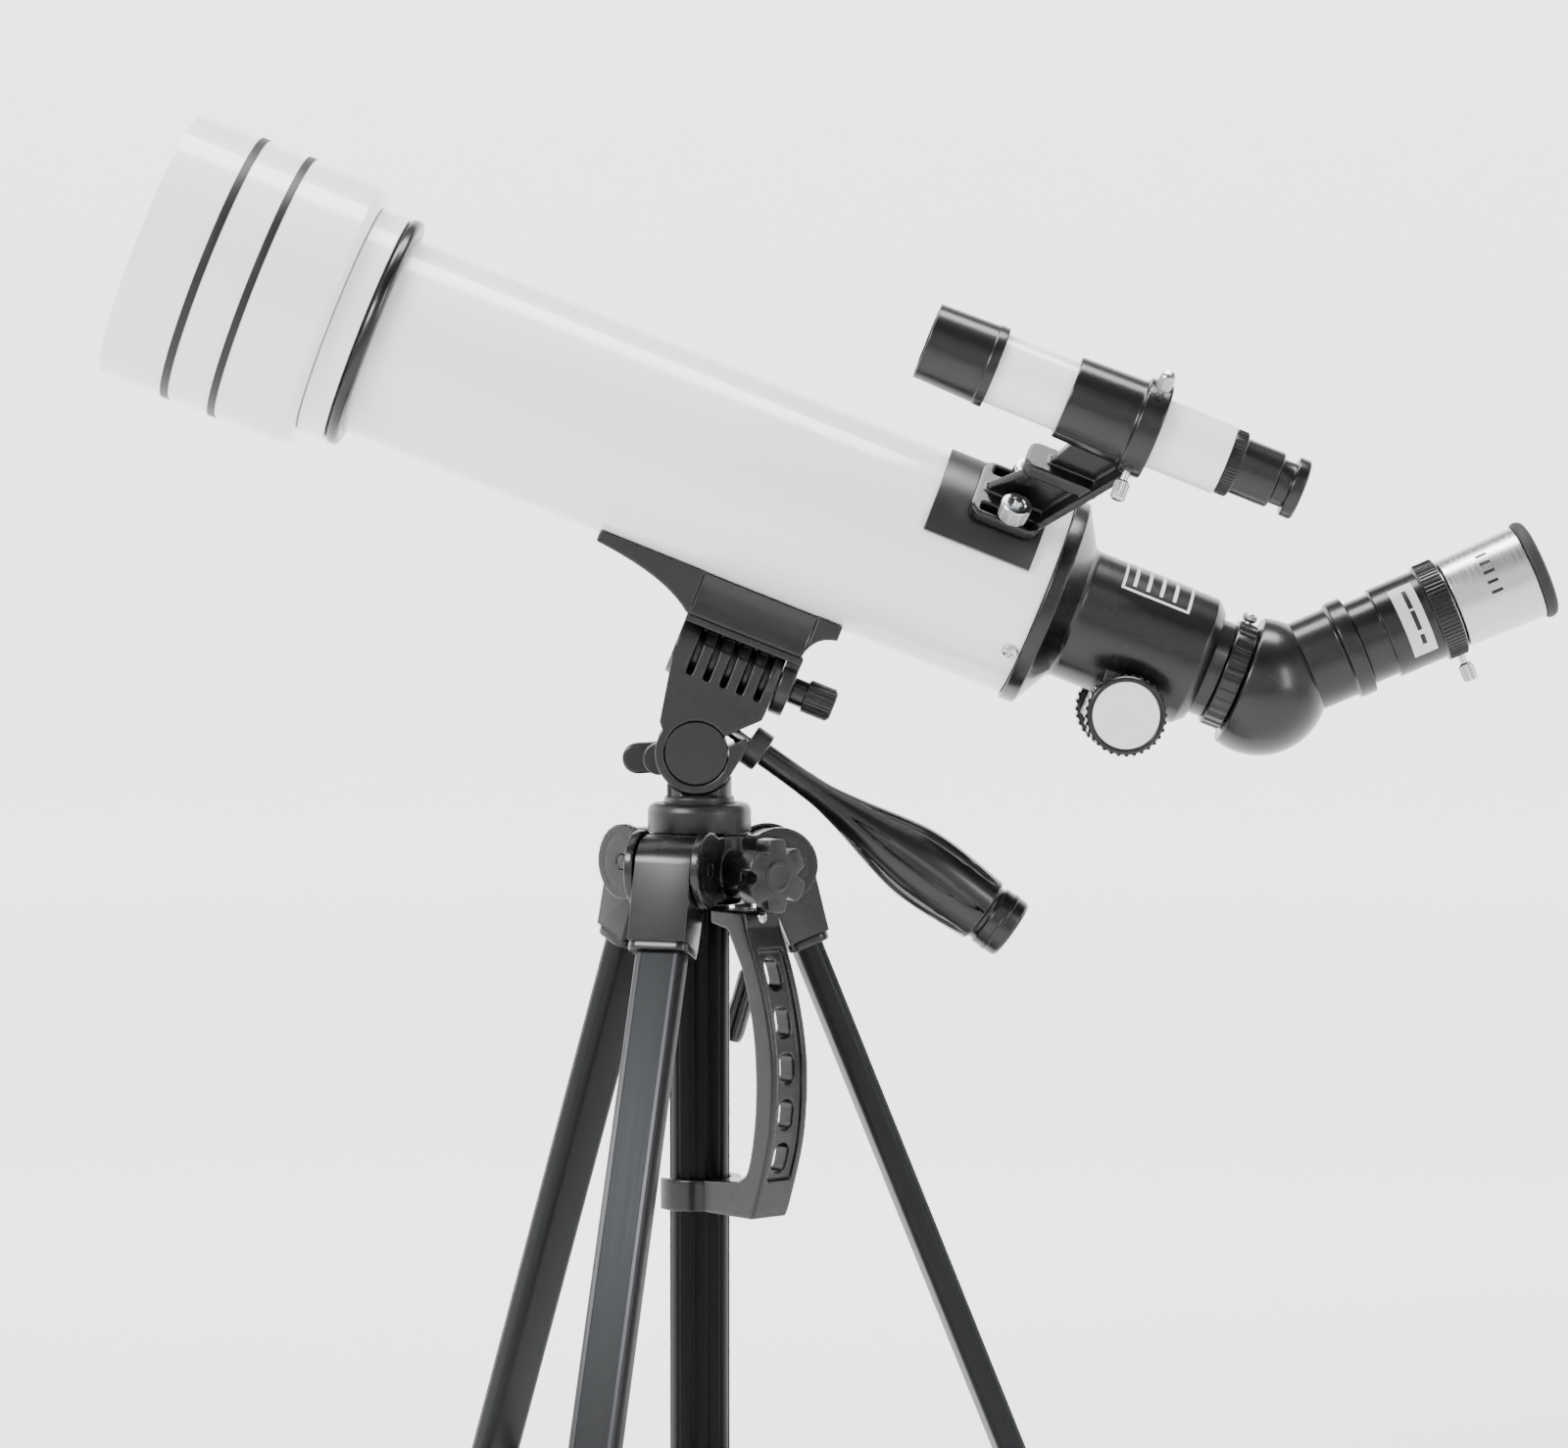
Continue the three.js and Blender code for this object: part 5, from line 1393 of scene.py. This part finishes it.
# %% Paper bowl
paper, tree = blank("pale_paper_backdrop")
where = object_place(tree)
fibre = noise(tree, where, 300.0)
depth = add(tree, "ShaderNodeSeparateXYZ", {"Vector": where})
principled(tree, {
    "Base Color": between(tree, fibre, "#F6F6F6", "#F9F9F9"), "Roughness": 0.9,
    "Emission Color": linear("#FFFFFF"),
    "Emission Strength": ranged(tree, depth.outputs["Y"], -0.2, 1.3, 0.12, 1.7)})
FLOOR_REACH, BEND, WALL_TOP = 4500, 1500, 5000
WALL_REACH = FLOOR_REACH + BEND
bend = [(FLOOR_REACH + BEND * math.sin(a), BEND - BEND * math.cos(a))
        for a in [math.pi / 2 * i / 20 for i in range(21)]]
bowl = turned([(0, 0), *bend, (WALL_REACH, WALL_TOP), (WALL_REACH + 20, WALL_TOP),
               (WALL_REACH + 20, -20), (0, -20)], 0, 128)
bowl.transform(MM)
for face in bowl.faces:
    face.smooth = True
backdrop = bpy.data.objects.new("paper_backdrop", to_mesh(bowl, "paper_backdrop"))
backdrop.data.materials.append(paper)
bpy.context.scene.collection.objects.link(backdrop)
print("backdrop reach", WALL_REACH / 1000, "m")

# %% [markdown]
# Three soft lamps light the object: a long one from the left, a weak one from the right
# and a broad one overhead. A dim white world fills the rest.

# %% World and lights
world = bpy.data.worlds.new("studio")
world.use_nodes = True
background = world.node_tree.nodes["Background"].inputs
background["Color"].default_value = linear("#FFFFFF")
background["Strength"].default_value = 0.3
bpy.context.scene.world = world
LIT = Vector((0, 0, 0.4))


def soft_light(name, place, width, height, power):
    lamp = bpy.data.lights.new(name, "AREA")
    lamp.shape = "RECTANGLE"
    lamp.size, lamp.size_y, lamp.energy = width, height, power
    made = bpy.data.objects.new(name, lamp)
    bpy.context.scene.collection.objects.link(made)
    made.location = place
    made.rotation_euler = (LIT - Vector(place)).to_track_quat("-Z", "Y").to_euler()


soft_light("key_left", (-1.3, -1.2, 1.5), 1.1, 0.5, 44)
soft_light("fill_right", (1.4, -1.3, 0.9), 0.35, 1.0, 10)
soft_light("top", (0.0, 0.2, 1.9), 1.6, 0.5, 42)
print("lights", len(bpy.data.lights))

# %% [markdown]
# The camera looks along the short side of the telescope from just over two metres, so
# that the parallel lines hardly converge.

# %% Camera
CAMERA_REACH, CAMERA_HEIGHT, AIM_HEIGHT = 2.144, 0.5076, 0.397
eye = Vector((column_foot.x + 0.0144, column_foot.y - CAMERA_REACH, CAMERA_HEIGHT))
aim = Vector((column_foot.x + 0.0331, column_foot.y, AIM_HEIGHT))
lens = bpy.data.cameras.new("product_camera")
lens.lens, lens.sensor_width = 126, 36
camera = bpy.data.objects.new("product_camera", lens)
camera.location = eye
camera.rotation_euler = (aim - eye).to_track_quat("-Z", "Y").to_euler()
bpy.context.scene.collection.objects.link(camera)
bpy.context.scene.camera = camera
print("camera at", [round(value, 3) for value in eye])
